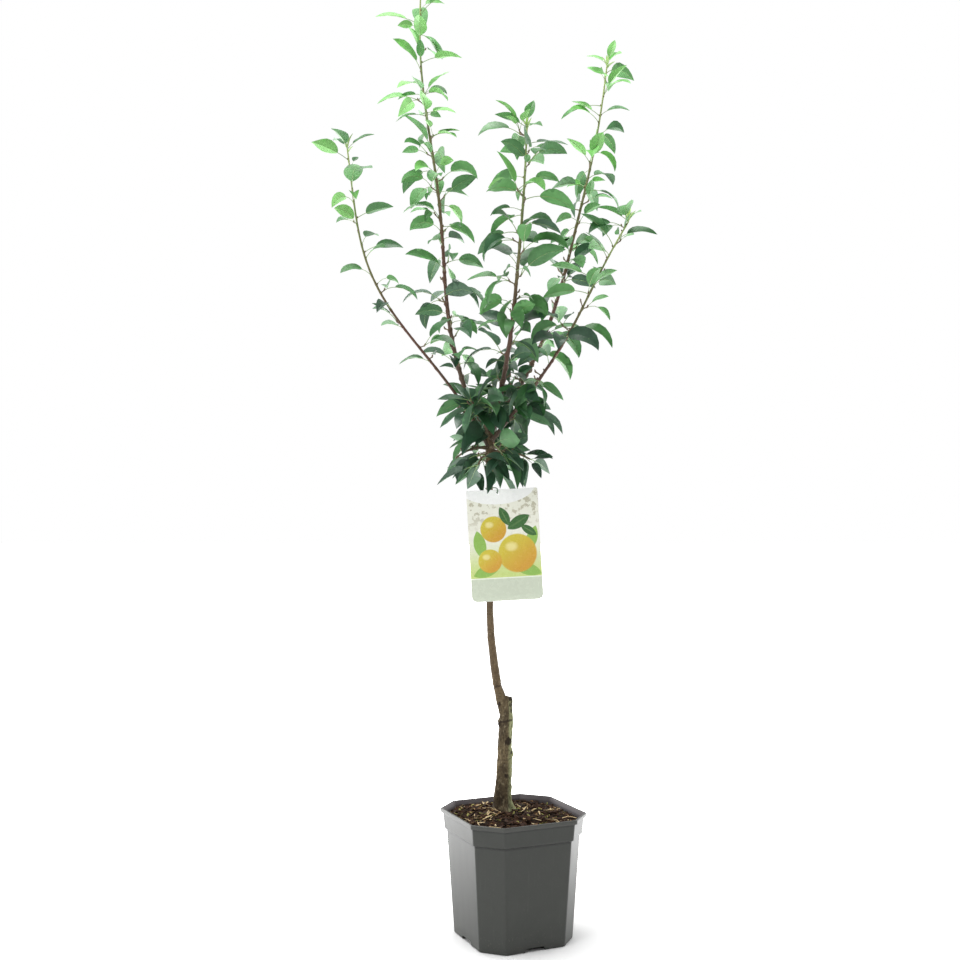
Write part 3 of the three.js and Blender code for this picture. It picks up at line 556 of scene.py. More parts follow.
@dataclass(frozen=True)
class Peat(Finish):
    """Moist potting soil: near black crumbs with brown fibre between."""

    deep: Colour = (0.009, 0.006, 0.004)
    crumb: Colour = (0.046, 0.024, 0.013)
    pale: Colour = (0.115, 0.075, 0.04)

    def dress(self, shader: Shader) -> bpy.types.Material:
        """Colours crumbs by fine noise with a few pale fibres, all rough."""
        crumbs = shader.noise(260, 5, 0.7)
        fibre = shader.noise((900, 260, 500))
        colour = shader.mix(crumbs.between(0.38, 0.68), self.deep, self.crumb)
        colour = shader.mix(fibre.between(0.66, 0.76) * 0.7, colour, self.pale)
        normal = shader.bump(crumbs * 0.6 + fibre * 0.4, 1.6 * MM, 0.9)
        return shader.surface(Base_Color=colour, Roughness=0.92, Normal=normal, Specular_IOR_Level=0.15)


@dataclass(frozen=True)
class Litter(Finish):
    """Straw, bark chips or green scraps on the soil: one colour with fibres and stains of another."""

    body: Colour
    stain: Colour

    def dress(self, shader: Shader) -> bpy.types.Material:
        """Stains the body in patches and lays a fine grain on it."""
        patches = shader.noise(130, 3)
        grain = shader.noise(1500, 2)
        colour = shader.mix(patches.between(0.35, 0.7), self.body, self.stain)
        rough_share = 0.7 + grain * 0.25
        normal = shader.bump(grain, 0.3 * MM, 0.7)
        return shader.surface(Base_Color=colour, Roughness=rough_share, Normal=normal, Specular_IOR_Level=0.2)


@dataclass(frozen=True)
class TrunkBark(Finish):
    """Bark that is cracked, flecked and grey-brown, redder on the scion. The stock has green patches, and its
    +x side is lightened to pale green as a painted highlight.

    scars are places and reaches in millimetres. lines are dark rings: a level in millimetres, the slope
    across, half the width in millimetres and how dark they are. graft is the span of height in millimetres
    where stock turns into scion, and foot is the span in metres where the bark darkens to the soil.
    """

    grey: Colour = (0.178, 0.136, 0.074)
    dark: Colour = (0.022, 0.014, 0.009)
    # The green of the patches on the stock, and of the painted highlight on its +x side.
    green: Colour = (0.36, 0.39, 0.20)
    red: Colour = (0.152, 0.106, 0.058)
    pale: Colour = (0.42, 0.36, 0.23)
    scars: tuple[tuple[Point, float], ...] = ()
    lines: tuple[tuple[float, float, float, float], ...] = ()
    graft: Pair = (370, 430)
    foot: Pair = (0.285, 0.205)

    def dress(self, shader: Shader) -> bpy.types.Material:
        """Mixes the colours by height, side and noise, and darkens cracks, scars and lines."""
        across, _, height = shader.axes(shader.at)
        above = (height + shader.noise(90, 3) * 0.04).between(*(MM * z for z in self.graft))
        patches = shader.noise((52, 52, 26), 4, 0.6)
        cracks = shader.noise((420, 420, 150), 5, 0.7)
        rings = shader.noise((120, 120, 700))
        flecks = shader.noise((260, 260, 120), 3, 0.6).between(0.56, 0.66)
        # Green patches, and a painted highlight that lightens the stock's +x side, where the light falls.
        side = (across * 38 + 1.0).between(0.45, 1.05)
        moss_and_lit_side = (patches * 0.6 + side * 0.7).between(0.5, 0.95) * (1 - above * 0.85) * 0.9
        colour = shader.mix(above, self.grey, self.red)
        for share, other in (
            (patches.between(0.60, 0.36) * (0.62 - above * 0.25), self.dark),
            (height.between(*self.foot) * 0.55, self.dark),
            (moss_and_lit_side, self.green),
            (flecks * (0.3 - above * 0.15), self.pale),
            (cracks.between(0.52, 0.38) * (0.62 - above * 0.3), self.dark),
            (rings.between(0.58, 0.68) * 0.45, self.dark),
        ):
            colour = shader.mix(share, colour, other)
        ragged = (cracks - 0.5) * 0.009 + (patches - 0.5) * 0.008
        for spot, reach in self.scars:
            colour = shader.mix(shader.near(spot, reach, ragged) * 0.9, colour, self.dark)
        for level, slope, reach, share in self.lines:
            away = (height - MM * level - across * slope + (patches - 0.5) * 0.012).size()
            colour = shader.mix(away.between(MM * reach, MM * reach * 0.3) * share, colour, self.dark)
        normal = shader.bump(cracks * 0.75 + rings * 0.25, 1.1 * MM, 0.8)
        return shader.surface(
            Base_Color=colour, Roughness=0.88 - above * 0.2, Normal=normal, Specular_IOR_Level=0.25
        )


@dataclass(frozen=True)
class ShootBark(Finish):
    """Smooth young bark with pale dots. It goes from brown at the foot through red to green at the tip.

    turns are the shares of the length where each of the four colours is pure.
    """

    foot: Colour = (0.082, 0.052, 0.030)
    middle: Colour = (0.100, 0.038, 0.023)
    green: Colour = (0.20, 0.26, 0.085)
    tip: Colour = (0.36, 0.46, 0.15)
    streak: Colour = (0.045, 0.025, 0.018)
    dot: Colour = (0.38, 0.31, 0.22)
    turns: tuple[float, float, float, float] = (0.0, 0.40, 0.82, 0.97)

    def dress(self, shader: Shader) -> bpy.types.Material:
        """Reads the share of the length from the piece's own map, and scatters pale dots over it."""
        along = shader.surface_axes()[1]
        blotches = shader.noise(70, 3)
        stops = list(zip(self.turns, (self.foot, self.middle, self.green, self.tip)))
        place = along + (blotches - 0.5) * 0.16
        colour = shader.node("ShaderNodeValToRGB", {"stops": stops}, {0: place}, "Color")
        streaks = shader.noise((500, 500, 60))
        colour = shader.mix(streaks.between(0.6, 0.3) * 0.35, colour, self.streak)
        dots = shader.specks((300, 300, 190)).between(0.22, 0.1)
        colour = shader.mix(dots * (1 - along) * 0.65, colour, self.dot)
        normal = shader.bump(dots * 0.6 + streaks * 0.4, 0.45 * MM, 0.7)
        return shader.surface(Base_Color=colour, Roughness=0.52 + streaks * 0.12, Normal=normal)


@dataclass(frozen=True)
class TwigBark(Finish):
    """Brown or green bark of spurs, twigs and buds, ringed where old leaves sat."""

    body: Colour = (0.12, 0.085, 0.055)
    other: Colour = (0.2, 0.16, 0.09)

    def dress(self, shader: Shader) -> bpy.types.Material:
        """Mottles the body with its other colour and gives it a fine wrinkled grain."""
        blotches = shader.noise(160, 4)
        wrinkles = shader.noise((200, 200, 900))
        colour = shader.mix(blotches.between(0.35, 0.65), self.body, self.other)
        normal = shader.bump(wrinkles, 0.4 * MM, 0.8)
        return shader.surface(Base_Color=colour, Roughness=0.6 + wrinkles * 0.2, Normal=normal)


@dataclass(frozen=True)
class LeafSkin(Finish):
    """One side of a spray's leaves: a plain green with slight mottling and a waxy or a dull face."""

    body: Colour
    mottle: float
    roughness: float

    def dress(self, shader: Shader) -> bpy.types.Material:
        """Mottles the green a little darker and lighter and puckers it with fine noise."""
        clouds = shader.noise(60, 3)
        puckers = shader.noise(150, 1)
        low, high = (tuple(min(1.0, v * (1 + sign * self.mottle)) for v in self.body) for sign in (-1, 1))
        colour = shader.mix(clouds.between(0.3, 0.7), low, high)
        rough_share = self.roughness + (puckers - 0.5) * 0.16
        normal = shader.bump(puckers, 0.9 * MM, 0.35)
        return shader.surface(Base_Color=colour, Roughness=rough_share, Normal=normal)


@dataclass(frozen=True)
class Printed:
    """A shape on the card's print: its middle, its two sizes, how far it is turned, and its colour.

    A disc's sizes are its radii, and a pointed leaf's are its length and width.
    """

    x: float
    z: float
    sizes: Pair
    turn: float
    colour: Colour


LIGHT_LEAF: Colour = (0.28, 0.5, 0.1)
DARK_LEAF: Colour = (0.05, 0.15, 0.04)


@dataclass(frozen=True)
class CardPrint(Finish):
    """A glossy card with a generic print: golden discs and pointed green leaves over a pale band.

    Places on it are millimetres from its middle, to the right and up, which the piece's map holds as
    shares of its size.
    """

    size: Pair = (115.5, 180.0)
    ground_top: Colour = (0.86, 0.86, 0.75)
    ground_foot: Colour = (0.58, 0.70, 0.24)
    fleck: Colour = (0.45, 0.42, 0.3)
    gold: Colour = (0.64, 0.55, 0.06)
    gold_shade: Colour = (0.64, 0.34, 0.04)
    shine: Colour = (0.95, 0.88, 0.45)
    vein: Colour = (0.35, 0.5, 0.2)
    panel: Colour = (0.95, 0.95, 0.94)
    band: Colour = (0.60, 0.66, 0.53)
    rule: Colour = (0.86, 0.9, 0.82)
    behind: tuple[Printed, ...] = (
        Printed(-40, 2, (46, 20), 100, LIGHT_LEAF),
        Printed(44, 8, (44, 18), 70, LIGHT_LEAF),
        Printed(-30, -40, (48, 20), 20, LIGHT_LEAF),
        Printed(34, -40, (50, 20), 160, LIGHT_LEAF),
    )
    discs: tuple[tuple[float, float, float], ...] = ((-17, 26, 21), (20, -14, 31), (-25, -25, 19))
    front: tuple[Printed, ...] = (
        Printed(24, 36, (42, 19), 30, DARK_LEAF),
        Printed(2, 46, (34, 15), 115, DARK_LEAF),
        Printed(40, 22, (30, 13), -35, DARK_LEAF),
    )
    vein_width: float = 1.1

    @staticmethod
    def disc(x: Socket, z: Socket, middle: Pair, radii: Pair, edge: float = 0.08) -> Socket:
        """1 within an ellipse about a middle, 0 outside it, with an edge of that softness."""
        away = ((x - middle[0]) / radii[0]) ** 2 + ((z - middle[1]) / radii[1]) ** 2
        return away.between(1 + edge, 1 - edge)

    @staticmethod
    def leaf(x: Socket, z: Socket, printed: Printed, length: float, width: float) -> Socket:
        """1 within a pointed leaf: where two wide discs overlap, turned by degrees."""
        c, s = math.cos(math.radians(printed.turn)), math.sin(math.radians(printed.turn))
        along = (x - printed.x) * c + (z - printed.z) * s
        aside = (z - printed.z) * c - (x - printed.x) * s
        bow = ((length / 2) ** 2 - (width / 2) ** 2) / width
        squared = (bow + width / 2) ** 2
        left, right = (
            (along**2 + (aside + sign * bow) ** 2).between(squared * 1.01, squared * 0.98) for sign in (-1, 1)
        )
        return left * right

    def dress(self, shader: Shader) -> bpy.types.Material:
        """Lays the ground, the leaves, the discs, the white panel and the band over each other."""
        right, up = shader.surface_axes()
        x, z = (right - 0.5) * self.size[0], (up - 0.5) * self.size[1]
        flecks = shader.noise(150, 3)
        colour = shader.mix(z.between(20, -50), self.ground_top, self.ground_foot)
        colour = shader.mix(flecks.between(0.52, 0.6) * z.between(10, 60) * 0.8, colour, self.fleck)
        for printed in self.behind:
            colour = shader.mix(self.leaf(x, z, printed, *printed.sizes), colour, printed.colour)
        for cx, cz, radius in self.discs:
            shade = ((x - cx) * 0.6 + (cz - z) * 0.8).between(-radius, radius)
            gold = shader.mix(shade, self.gold, self.gold_shade)
            colour = shader.mix(self.disc(x, z, (cx, cz), (radius, radius)), colour, gold)
            lit = (cx - radius * 0.3, cz + radius * 0.35)
            shine = self.disc(x, z, lit, (radius * 0.3, radius * 0.22), 0.9)
            colour = shader.mix(shine * 0.6, colour, self.shine)
        for printed in self.front:
            colour = shader.mix(self.leaf(x, z, printed, *printed.sizes), colour, printed.colour)
            vein = self.leaf(x, z, printed, printed.sizes[0] * 0.9, self.vein_width)
            colour = shader.mix(vein, colour, self.vein)
        colour = shader.mix(self.disc(x, z, (-8, 96), (62, 30), 0.03), colour, self.panel)
        colour = shader.mix(z.between(-53.6, -54.4), colour, self.band)
        colour = shader.mix((z + 53).size().between(1.2, 0.6), colour, self.rule)
        normal = shader.bump(shader.noise(40, 2), 0.6 * MM, 0.25)
        return shader.surface(Base_Color=colour, Roughness=0.22 + flecks * 0.1, Normal=normal)


@dataclass(frozen=True)
class CardPaper(Finish):
    """The card's back and edges: plain white board, a little marked."""

    body: Colour = (0.82, 0.82, 0.78)
    mark: Colour = (0.6, 0.6, 0.54)

    def dress(self, shader: Shader) -> bpy.types.Material:
        """Marks the white with faint grey."""
        marks = shader.noise(55, 4)
        colour = shader.mix(marks.between(0.4, 0.8) * 0.3, self.body, self.mark)
        return shader.surface(Base_Color=colour, Roughness=0.4 + marks * 0.2)


@dataclass(frozen=True)
class TieCord(Finish):
    """Thin twisted plastic cord."""

    body: Colour = (0.045, 0.10, 0.05)
    lit: Colour = (0.1, 0.2, 0.1)

    def dress(self, shader: Shader) -> bpy.types.Material:
        """Bands the cord along its length as a twist does."""
        around, along = shader.surface_axes()
        twist = (along * 260 + around * 3).sine() * 0.5 + 0.5
        colour = shader.mix(twist * 0.5, self.body, self.lit)
        normal = shader.bump(twist, 0.3 * MM, 0.6)
        return shader.surface(Base_Color=colour, Roughness=0.45, Normal=normal)


@dataclass(frozen=True)
class StudioFloor(Finish):
    """Plain white studio floor, lit from within behind the plant.

    glow and far_glow hold the strengths in front of the plant and behind it, near it and far from it.
    turns is the span of y over which front turns into behind. far and under_pot are spans of distance.
    """

    body: Colour = (0.93, 0.93, 0.93)
    mottle: Colour = (0.916, 0.916, 0.916)
    glow: Pair = (0.04, 2.1)
    far_glow: Pair = (0.66, 1.7)
    turns: Pair = (0.0, 0.6)
    far: Pair = (0.8, 1.5)
    under_pot: Pair = (0.13, 0.07)
    strength: float = 1.6

    def dress(self, shader: Shader) -> bpy.types.Material:
        """White with hardly any mottling.

        Its glow grows from in front of the plant to behind it, and there is none under the pot. Far from
        the plant it only glows, which keeps the light calm.
        """
        black = (0, 0, 0)
        x, y, _ = shader.axes(shader.at)
        away = (x**2 + y**2) ** 0.5
        far, behind = away.between(*self.far), y.between(*self.turns)
        near_glow, far_glow = (
            shader.mix(behind, (front,) * 3, (back,) * 3) for front, back in (self.glow, self.far_glow)
        )
        glow = shader.mix(away.between(*self.under_pot), shader.mix(far, near_glow, far_glow), black)
        colour = shader.mix(shader.noise(3, 2) * 0.3, self.body, self.mottle)
        colour = shader.mix(far, colour, black)
        material = shader.surface(
            Base_Color=colour, Roughness=0.6, Emission_Color=glow, Emission_Strength=self.strength
        )
        material.cycles.emission_sampling = "NONE"
        return material


# The growth rule

class Draws:
    """Numbers between 0 and 1 that are the same for the same seed, as in the part's source."""

    def __init__(self, seed: int) -> None:
        """Starts the stream of that seed."""
        self.state = seed

    def one(self) -> float:
        """The next number: the state steps on, and its bits are mixed by shifts and products."""
        self.state = (self.state + 0x6D2B79F5) & WORD
        t = ((self.state ^ (self.state >> 15)) * (self.state | 1)) & WORD
        t ^= (t + (((t ^ (t >> 7)) * (t | 61)) & WORD)) & WORD
        return (t ^ (t >> 14)) / (WORD + 1.0)

    def some(self, count: int) -> list[float]:
        """The next few numbers."""
        return [self.one() for _ in range(count)]


def stray(width: float, draw: float) -> float:
    """A draw's stray to either side of 0, within a width in all."""
    return width * (draw - 0.5)


def within(span: Pair, draw: float) -> float:
    """The value that a draw picks from a span."""
    return span[0] + (span[1] - span[0]) * draw


def no_points() -> Array:
    """An empty set of points."""
    return np.zeros((0, 3))


@dataclass(frozen=True)
class Shoot:
    """A long limb from the trunk's head to its tip.

    It runs straight, bowed by half a sine in x and y, and bent in x by a whole sine and by one and a half.
    Its radius goes from the foot's to the tip's, by the share of its length to the power of taper.
    """

    foot: Point
    tip: Point
    bow: Pair
    bends: Pair
    r: Pair
    taper: float = 0.8

    def at(self, share: Array) -> Array:
        """Points at shares of the length."""
        t = np.asarray(share, float)
        half, whole, longer = (np.sin(k * math.pi * t) for k in (1, 2, 3))
        line = np.array(self.foot) + (np.array(self.tip) - self.foot) * t[..., None]
        sideways = self.bow[0] * half + self.bends[0] * whole + self.bends[1] * longer
        return line + np.stack([sideways, self.bow[1] * half, 0 * t], -1)

    def radius(self, share: Array) -> Array:
        """Radii at shares of the length."""
        return within(self.r, np.maximum(share, 0) ** self.taper)


@dataclass(frozen=True)
class Twig:
    """A short limb on the trunk's head: an arc in an upright plane, whose rise goes from angle to angle.

    It starts inset millimetres from the trunk's middle line, and its radius goes evenly to the tip's.
    """

    z: float
    az: float
    rise: Pair
    length: float
    r: Pair
    middle: Pair = (-36.5, 15)
    inset: float = 4

    def at(self, share: Array) -> Array:
        """Points at shares of the length."""
        first, last = (math.radians(v) for v in self.rise)
        bend = (first - last) / self.length
        s = self.length * np.asarray(share, float)
        out = self.inset + (math.sin(first) - np.sin(first - bend * s)) / bend
        up = (np.cos(first - bend * s) - math.cos(first)) / bend
        way = level_way(self.az)
        return np.stack([self.middle[0] + out * way[0], self.middle[1] + out * way[1], self.z + up], -1)

    def radius(self, share: Array) -> Array:
        """Radii at shares of the length."""
        return within(self.r, np.asarray(share, float))


@dataclass(frozen=True)
class Habit:
    """How a mass is leafed.

    The step between its nodes, the share of nodes that are spurs, the least and most leaves on a spur, the
    span of the leaves' lengths, the middle and spread of their rise and arch, and the leaves in its tuft.
    """

    step: float
    spur: float
    leaves: tuple[int, int]
    size: Pair
    rise: Pair
    arch: Pair
    tuft: int


@dataclass(frozen=True)
class Mass:
    """One mass of leaves: its name, the limb and the span of it that its stem follows, its habit and seed."""

    name: str
    on: str
    span: Pair
    habit: Habit
    seed: int


@dataclass(frozen=True)
class Leaf:
    """A leaf: its root, sizes, azimuth, rise, arch, roll and fold in degrees, and the spray it belongs to."""

    root: Point
    length: float
    width: float
    petiole: float
    az: float
    rise: float
    arch: float
    roll: float
    fold: float
    spray: int = 0


@dataclass(frozen=True)
class Node:
    """A node on a limb: its place, the limb's radius there, its azimuth, and the tip of its spur, if any."""

    limb: str
    share: float
    point: Point
    radius: float
    az: float
    tip: Optional[Point]


SHOOTS = {
    "left_outer": Shoot((-39, 12, 782), (-262, -60, 1247), (-50, 10), (10, 5), (2.9, 1.2)),
    "tall": Shoot((-46, 18, 792), (-155, 110, 1581), (-28, 25), (-5, -8), (4.4, 1.2)),
    "centre": Shoot((-35, 10, 805), (18, -150, 1251), (13, -30), (2, 1), (4.5, 1.3)),
    "right_centre": Shoot((-38, 18, 800), (171, 150, 1462), (42, 30), (7, 4), (4.3, 1.2)),
    "right_outer": Shoot((-34, 6, 791), (180, -70, 1129), (16, -20), (4, -1), (3.2, 1.2)),
}
TWIGS = {
    "skirt_left": Twig(779, 207, (5, -40), 62, (2.4, 1.3)),
    "skirt_front_left": Twig(768, 247, (0, -45), 50, (2.3, 1.3)),
    "skirt_front": Twig(780, 292, (5, -40), 54, (2.4, 1.3)),
    "skirt_right": Twig(772, 338, (8, -30), 68, (2.4, 1.3)),
    "skirt_back_right": Twig(780, 42, (8, -30), 62, (2.4, 1.3)),
    "skirt_back_left": Twig(770, 118, (8, -30), 62, (2.4, 1.3)),
    "heart_front": Twig(797, 240, (58, 30), 78, (2.3, 1.2)),
    "heart_right": Twig(795, 10, (52, 28), 82, (2.3, 1.2)),
    "heart_back": Twig(799, 88, (62, 35), 78, (2.3, 1.2)),
    "heart_left": Twig(797, 160, (56, 30), 78, (2.3, 1.2)),
}
HEAD = Shoot((-37, 15, 742), (-36.5, 15, 818), (0, 0), (0, 0), (5.2, 6.5))
LIMBS: dict[str, Union[Shoot, Twig]] = {**SHOOTS, **TWIGS, "head": HEAD}
SCION = (
    (346, -12.5, 8.6), (362, -15.6, 8.8), (377, -19, 8.4), (395, -25, 7.0), (425, -29, 6.9), (474, -35, 6.2),
    (525, -37, 5.6), (629, -37, 5.2), (727, -37, 5.2), (806, -36, 8.5), (810.5, -36, 5.6),
)
TRUNK_Y = 15

TOP = Habit(17, 0, (1, 1), (42, 58), (46, 28), (64, 40), 3)
UPPER = Habit(15, 0.2, (2, 3), (46, 62), (40, 28), (72, 40), 0)
MIDDLE = Habit(15, 0.35, (2, 3), (46, 64), (36, 28), (80, 40), 0)
LOW = Habit(17, 0.65, (2, 3), (46, 64), (32, 28), (84, 40), 0)
SPARSE = Habit(34, 0.3, (1, 2), (42, 56), (36, 24), (76, 40), 0)
SKIRT = Habit(13, 0.4, (2, 3), (50, 66), (0, 24), (64, 36), 3)
HEART = Habit(13, 0.5, (2, 3), (46, 64), (14, 28), (74, 36), 3)

# The masses in the order in which they grow, those on the twigs last.
MASSES = (
    Mass("tall_top", "tall", (0.8, 1), TOP, 703),
    Mass("right_centre_top", "right_centre", (0.78, 1), TOP, 2306),
    Mass("left_outer_top", "left_outer", (0.62, 1), replace(TOP, step=20), 2295),
    Mass("right_outer_top", "right_outer", (0.64, 1), replace(TOP, step=14, spur=0.1, leaves=(2, 3)), 1858),
    Mass("centre_top", "centre", (0.76, 1), replace(TOP, step=13, spur=0.2, leaves=(2, 3)), 177),
    Mass("tall_upper", "tall", (0.6, 0.8), UPPER, 886),
    Mass("right_centre_upper", "right_centre", (0.59, 0.78), UPPER, 1798),
    Mass("left_outer_low", "left_outer", (0.24, 0.62), SPARSE, 1398),
    Mass("right_outer_low", "right_outer", (0.3, 0.64), UPPER, 10),
    Mass("centre_middle", "centre", (0.5, 0.76), MIDDLE, 910),
    Mass("tall_middle", "tall", (0.37, 0.6), MIDDLE, 1304),
    Mass("right_centre_middle", "right_centre", (0.37, 0.59), MIDDLE, 1583),
    Mass("tall_low", "tall", (0.12, 0.37), LOW, 59),
    Mass("centre_low", "centre", (0.2, 0.5), LOW, 698),
    Mass("right_centre_low", "right_centre", (0.14, 0.37), LOW, 597),
    *(
        Mass(name, name, (0, 1), HEART if name.startswith("heart") else SKIRT, seed)
        for name, seed in zip(TWIGS, (185, 172, 509, 165, 563, 101, 573, 165, 753, 736))
    ),
)

# More leaves, on the trunk's head itself and on the shoots' feet.
FOOT = Habit(5, 0.9, (2, 3), (36, 54), (16, 34), (58, 34), 0)
HEAD_LOW = Habit(4.5, 0.6, (2, 3), (42, 60), (-14, 26), (44, 26), 0)
HEAD_HIGH = Habit(2.5, 0.7, (2, 3), (44, 62), (4, 30), (52, 30), 0)
HEAD_MASSES = (
    Mass("skirt_front", "head", (0, 0.6), HEAD_LOW, 211),
    Mass("heart_front", "head", (0.55, 1), HEAD_HIGH, 97),
    Mass("heart_right", "right_outer", (0.13, 0.31), FOOT, 71),
    Mass("heart_back", "right_centre", (0.05, 0.15), FOOT, 43),
    Mass("heart_front", "centre", (0.06, 0.2), FOOT, 29),
)

# The powers of a leaf's outline, the turns and lifts at which a leaf is tried, the box that is left to the
# card, and the turn from a node to the next.
OUTLINE = (0.62, 0.95)
TRIES = ((0, 0), (32, 0), (-32, 0), (64, 8), (-64, 8), (100, -12), (-100, -12))
CARD_KEEP_OUT = ((-84, -8, 515), (58, 16, 716))
NODE_TURN = 144


def half_width(u: Array, powers: Pair = OUTLINE) -> Array:
    """Half a blade's width as a share of its most: u to one power times 1 - u to another, over its peak."""
    rise, fall = powers
    peak = (rise / (rise + fall)) ** rise * (fall / (rise + fall)) ** fall
    return np.asarray(u) ** rise * (1 - np.asarray(u)) ** fall / peak


class Midribs:
    """The midribs of many leaves at once, each an arc in the upright plane of its azimuth."""

    tested_on_rib = (0.1, 0.3, 0.5, 0.7, 0.85, 1)
    tested_on_edges = (0.2, 0.4, 0.6, 0.8)
    tested_on_stalk = (0.4, 0.8)

    def __init__(self, leaves: Sequence[Leaf]) -> None:
        """Holds the leaves' numbers as columns."""
        self.root = np.array([leaf.root for leaf in leaves])[:, None]
        names = ("length", "width", "petiole", "az", "rise", "arch", "roll", "fold")
        table = np.array([[getattr(leaf, name) for name in names] for leaf in leaves])
        self.length, self.width, self.petiole = (table[:, k, None] for k in range(3))
        degrees = (np.radians(table[:, k, None]) for k in range(3, 8))
        self.az, self.rise, self.arch, self.roll, self.fold = degrees

    def frames(self, s: Array, twist: Union[Array, float] = 0) -> tuple[Array, Array, Array]:
        """Point, side and upper normal at distances from the roots.

        The rise falls evenly along the arc, so its out and up are differences of sines and cosines over
        the bend. The blade is rolled about the midrib, fully once past the petiole.

        Args:
            s: Distances of shape (leaves, places).
            twist: Further roll in radians, of the same shape.

        Returns:
            Three arrays of shape (leaves, places, 3).
        """
        bend = self.arch / (self.petiole + self.length)
        e = self.rise - bend * s
        out = (np.sin(self.rise) - np.sin(e)) / bend
        up = (np.cos(e) - np.cos(self.rise)) / bend
        cos, sin = np.cos(self.az) + 0 * s, np.sin(self.az) + 0 * s
        point = self.root + np.stack([out * cos, out * sin, up], -1)
        level = np.stack([-sin, cos, 0 * s], -1)
        upper = np.stack([-np.sin(e) * cos, -np.sin(e) * sin, np.cos(e)], -1)
        roll = (self.roll * np.minimum(1, s / self.petiole) + twist)[..., None]
        side = level * np.cos(roll) + upper * np.sin(roll)
        return point, side, upper * np.cos(roll) - level * np.sin(roll)

    def blade(self, u: Array) -> Array:
        """Distances from the roots at shares of the blades."""
        return self.petiole + self.length * np.asarray(u)

    def test_points(self) -> tuple[Array, Array]:
        """The points that each leaf's room is tested at: on its blade, and on its stalk."""
        middle = self.frames(self.blade([self.tested_on_rib]))[0]
        u = np.array([self.tested_on_edges])
        point, side, normal = self.frames(self.blade(u))
        half = (self.width / 2 * half_width(u))[..., None]
        cos, sin = np.cos(self.fold)[..., None], np.sin(self.fold)[..., None]
        edges = [point + side * sign * half * cos + normal * half * sin for sign in (1, -1)]
        stalk = self.frames(self.petiole * np.array([self.tested_on_stalk]))[0]
        return np.concatenate([middle, *edges], axis=1), stalk


@dataclass(frozen=True)
class Room:
    """Distances to keep.

    Blades keep them to other limbs, to their own stem, to leaves of other masses, and to leaves and stalks
    of their own mass, and stalks to other limbs. A leaf may come nearer to another mass's line than to its
    own by share.
    """

    limb: float = 6
    own_stem: float = 1.5
    other_leaf: float = 8.5
    own_leaf: float = 6
    own_stalk: float = 3.5
    stalk: float = 3
    share: float = 32

    def scaled(self, by: float) -> "Room":
        """The same room with the distances to leaves, stalks and limbs scaled."""
        names = ("limb", "other_leaf", "own_leaf", "own_stalk", "stalk")
        return replace(self, **{name: getattr(self, name) * by for name in names})


@dataclass(frozen=True)
class Round:
    """One round of growth: its room, what it makes of a mass's seed and habit, and its spurs and petioles.

    Both lengths are a least one and what a draw may add.
    """

    room: Room = Room()
    reseed: int = 0
    spur_reach: Pair = (6, 12)
    petiole: Pair = (14, 14)
    habit: Callable[[Mass], Habit] = lambda mass: mass.habit


def finer_habit(mass: Mass) -> Habit:
    """The habit of a mass's finer twigs: more of them are spurs, and their leaves are small."""
    habit = mass.habit
    wider = {LOW: 1.3, MIDDLE: 1.5, UPPER: 2.3, SKIRT: 2.4, HEART: 0.42}.get(habit, 2.0)
    if habit == HEART:
        habit = replace(habit, size=(84, 82), rise=(34, 34))
    small = (habit.size[0] * 0.5, habit.size[1] * 0.8)
    return replace(habit, step=habit.step * wider, size=small, spur=min(0.75, habit.spur + 0.25), tuft=0)


@dataclass
class Growth:
    """What one mass has grown so far: leaves, nodes, and the points that its later leaves keep clear of."""

    leaves: list[Leaf] = field(default_factory=list)
    nodes: list[Node] = field(default_factory=list)
    blades: Array = field(default_factory=no_points)
    stalks: Array = field(default_factory=no_points)


def gaps(points: Array, others: Array) -> Array:
    """Distances between every two of two sets of points."""
    away = points[..., :, None, :] - others[None, :]
    return np.sqrt((away * away).sum(-1))


def keeps(points: Array, others: Array, least: Union[Array, float]) -> Array:
    """Whether sets of points of shape (sets, points, 3) keep a distance from all others."""
    return (gaps(points, others) >= least).all((1, 2))


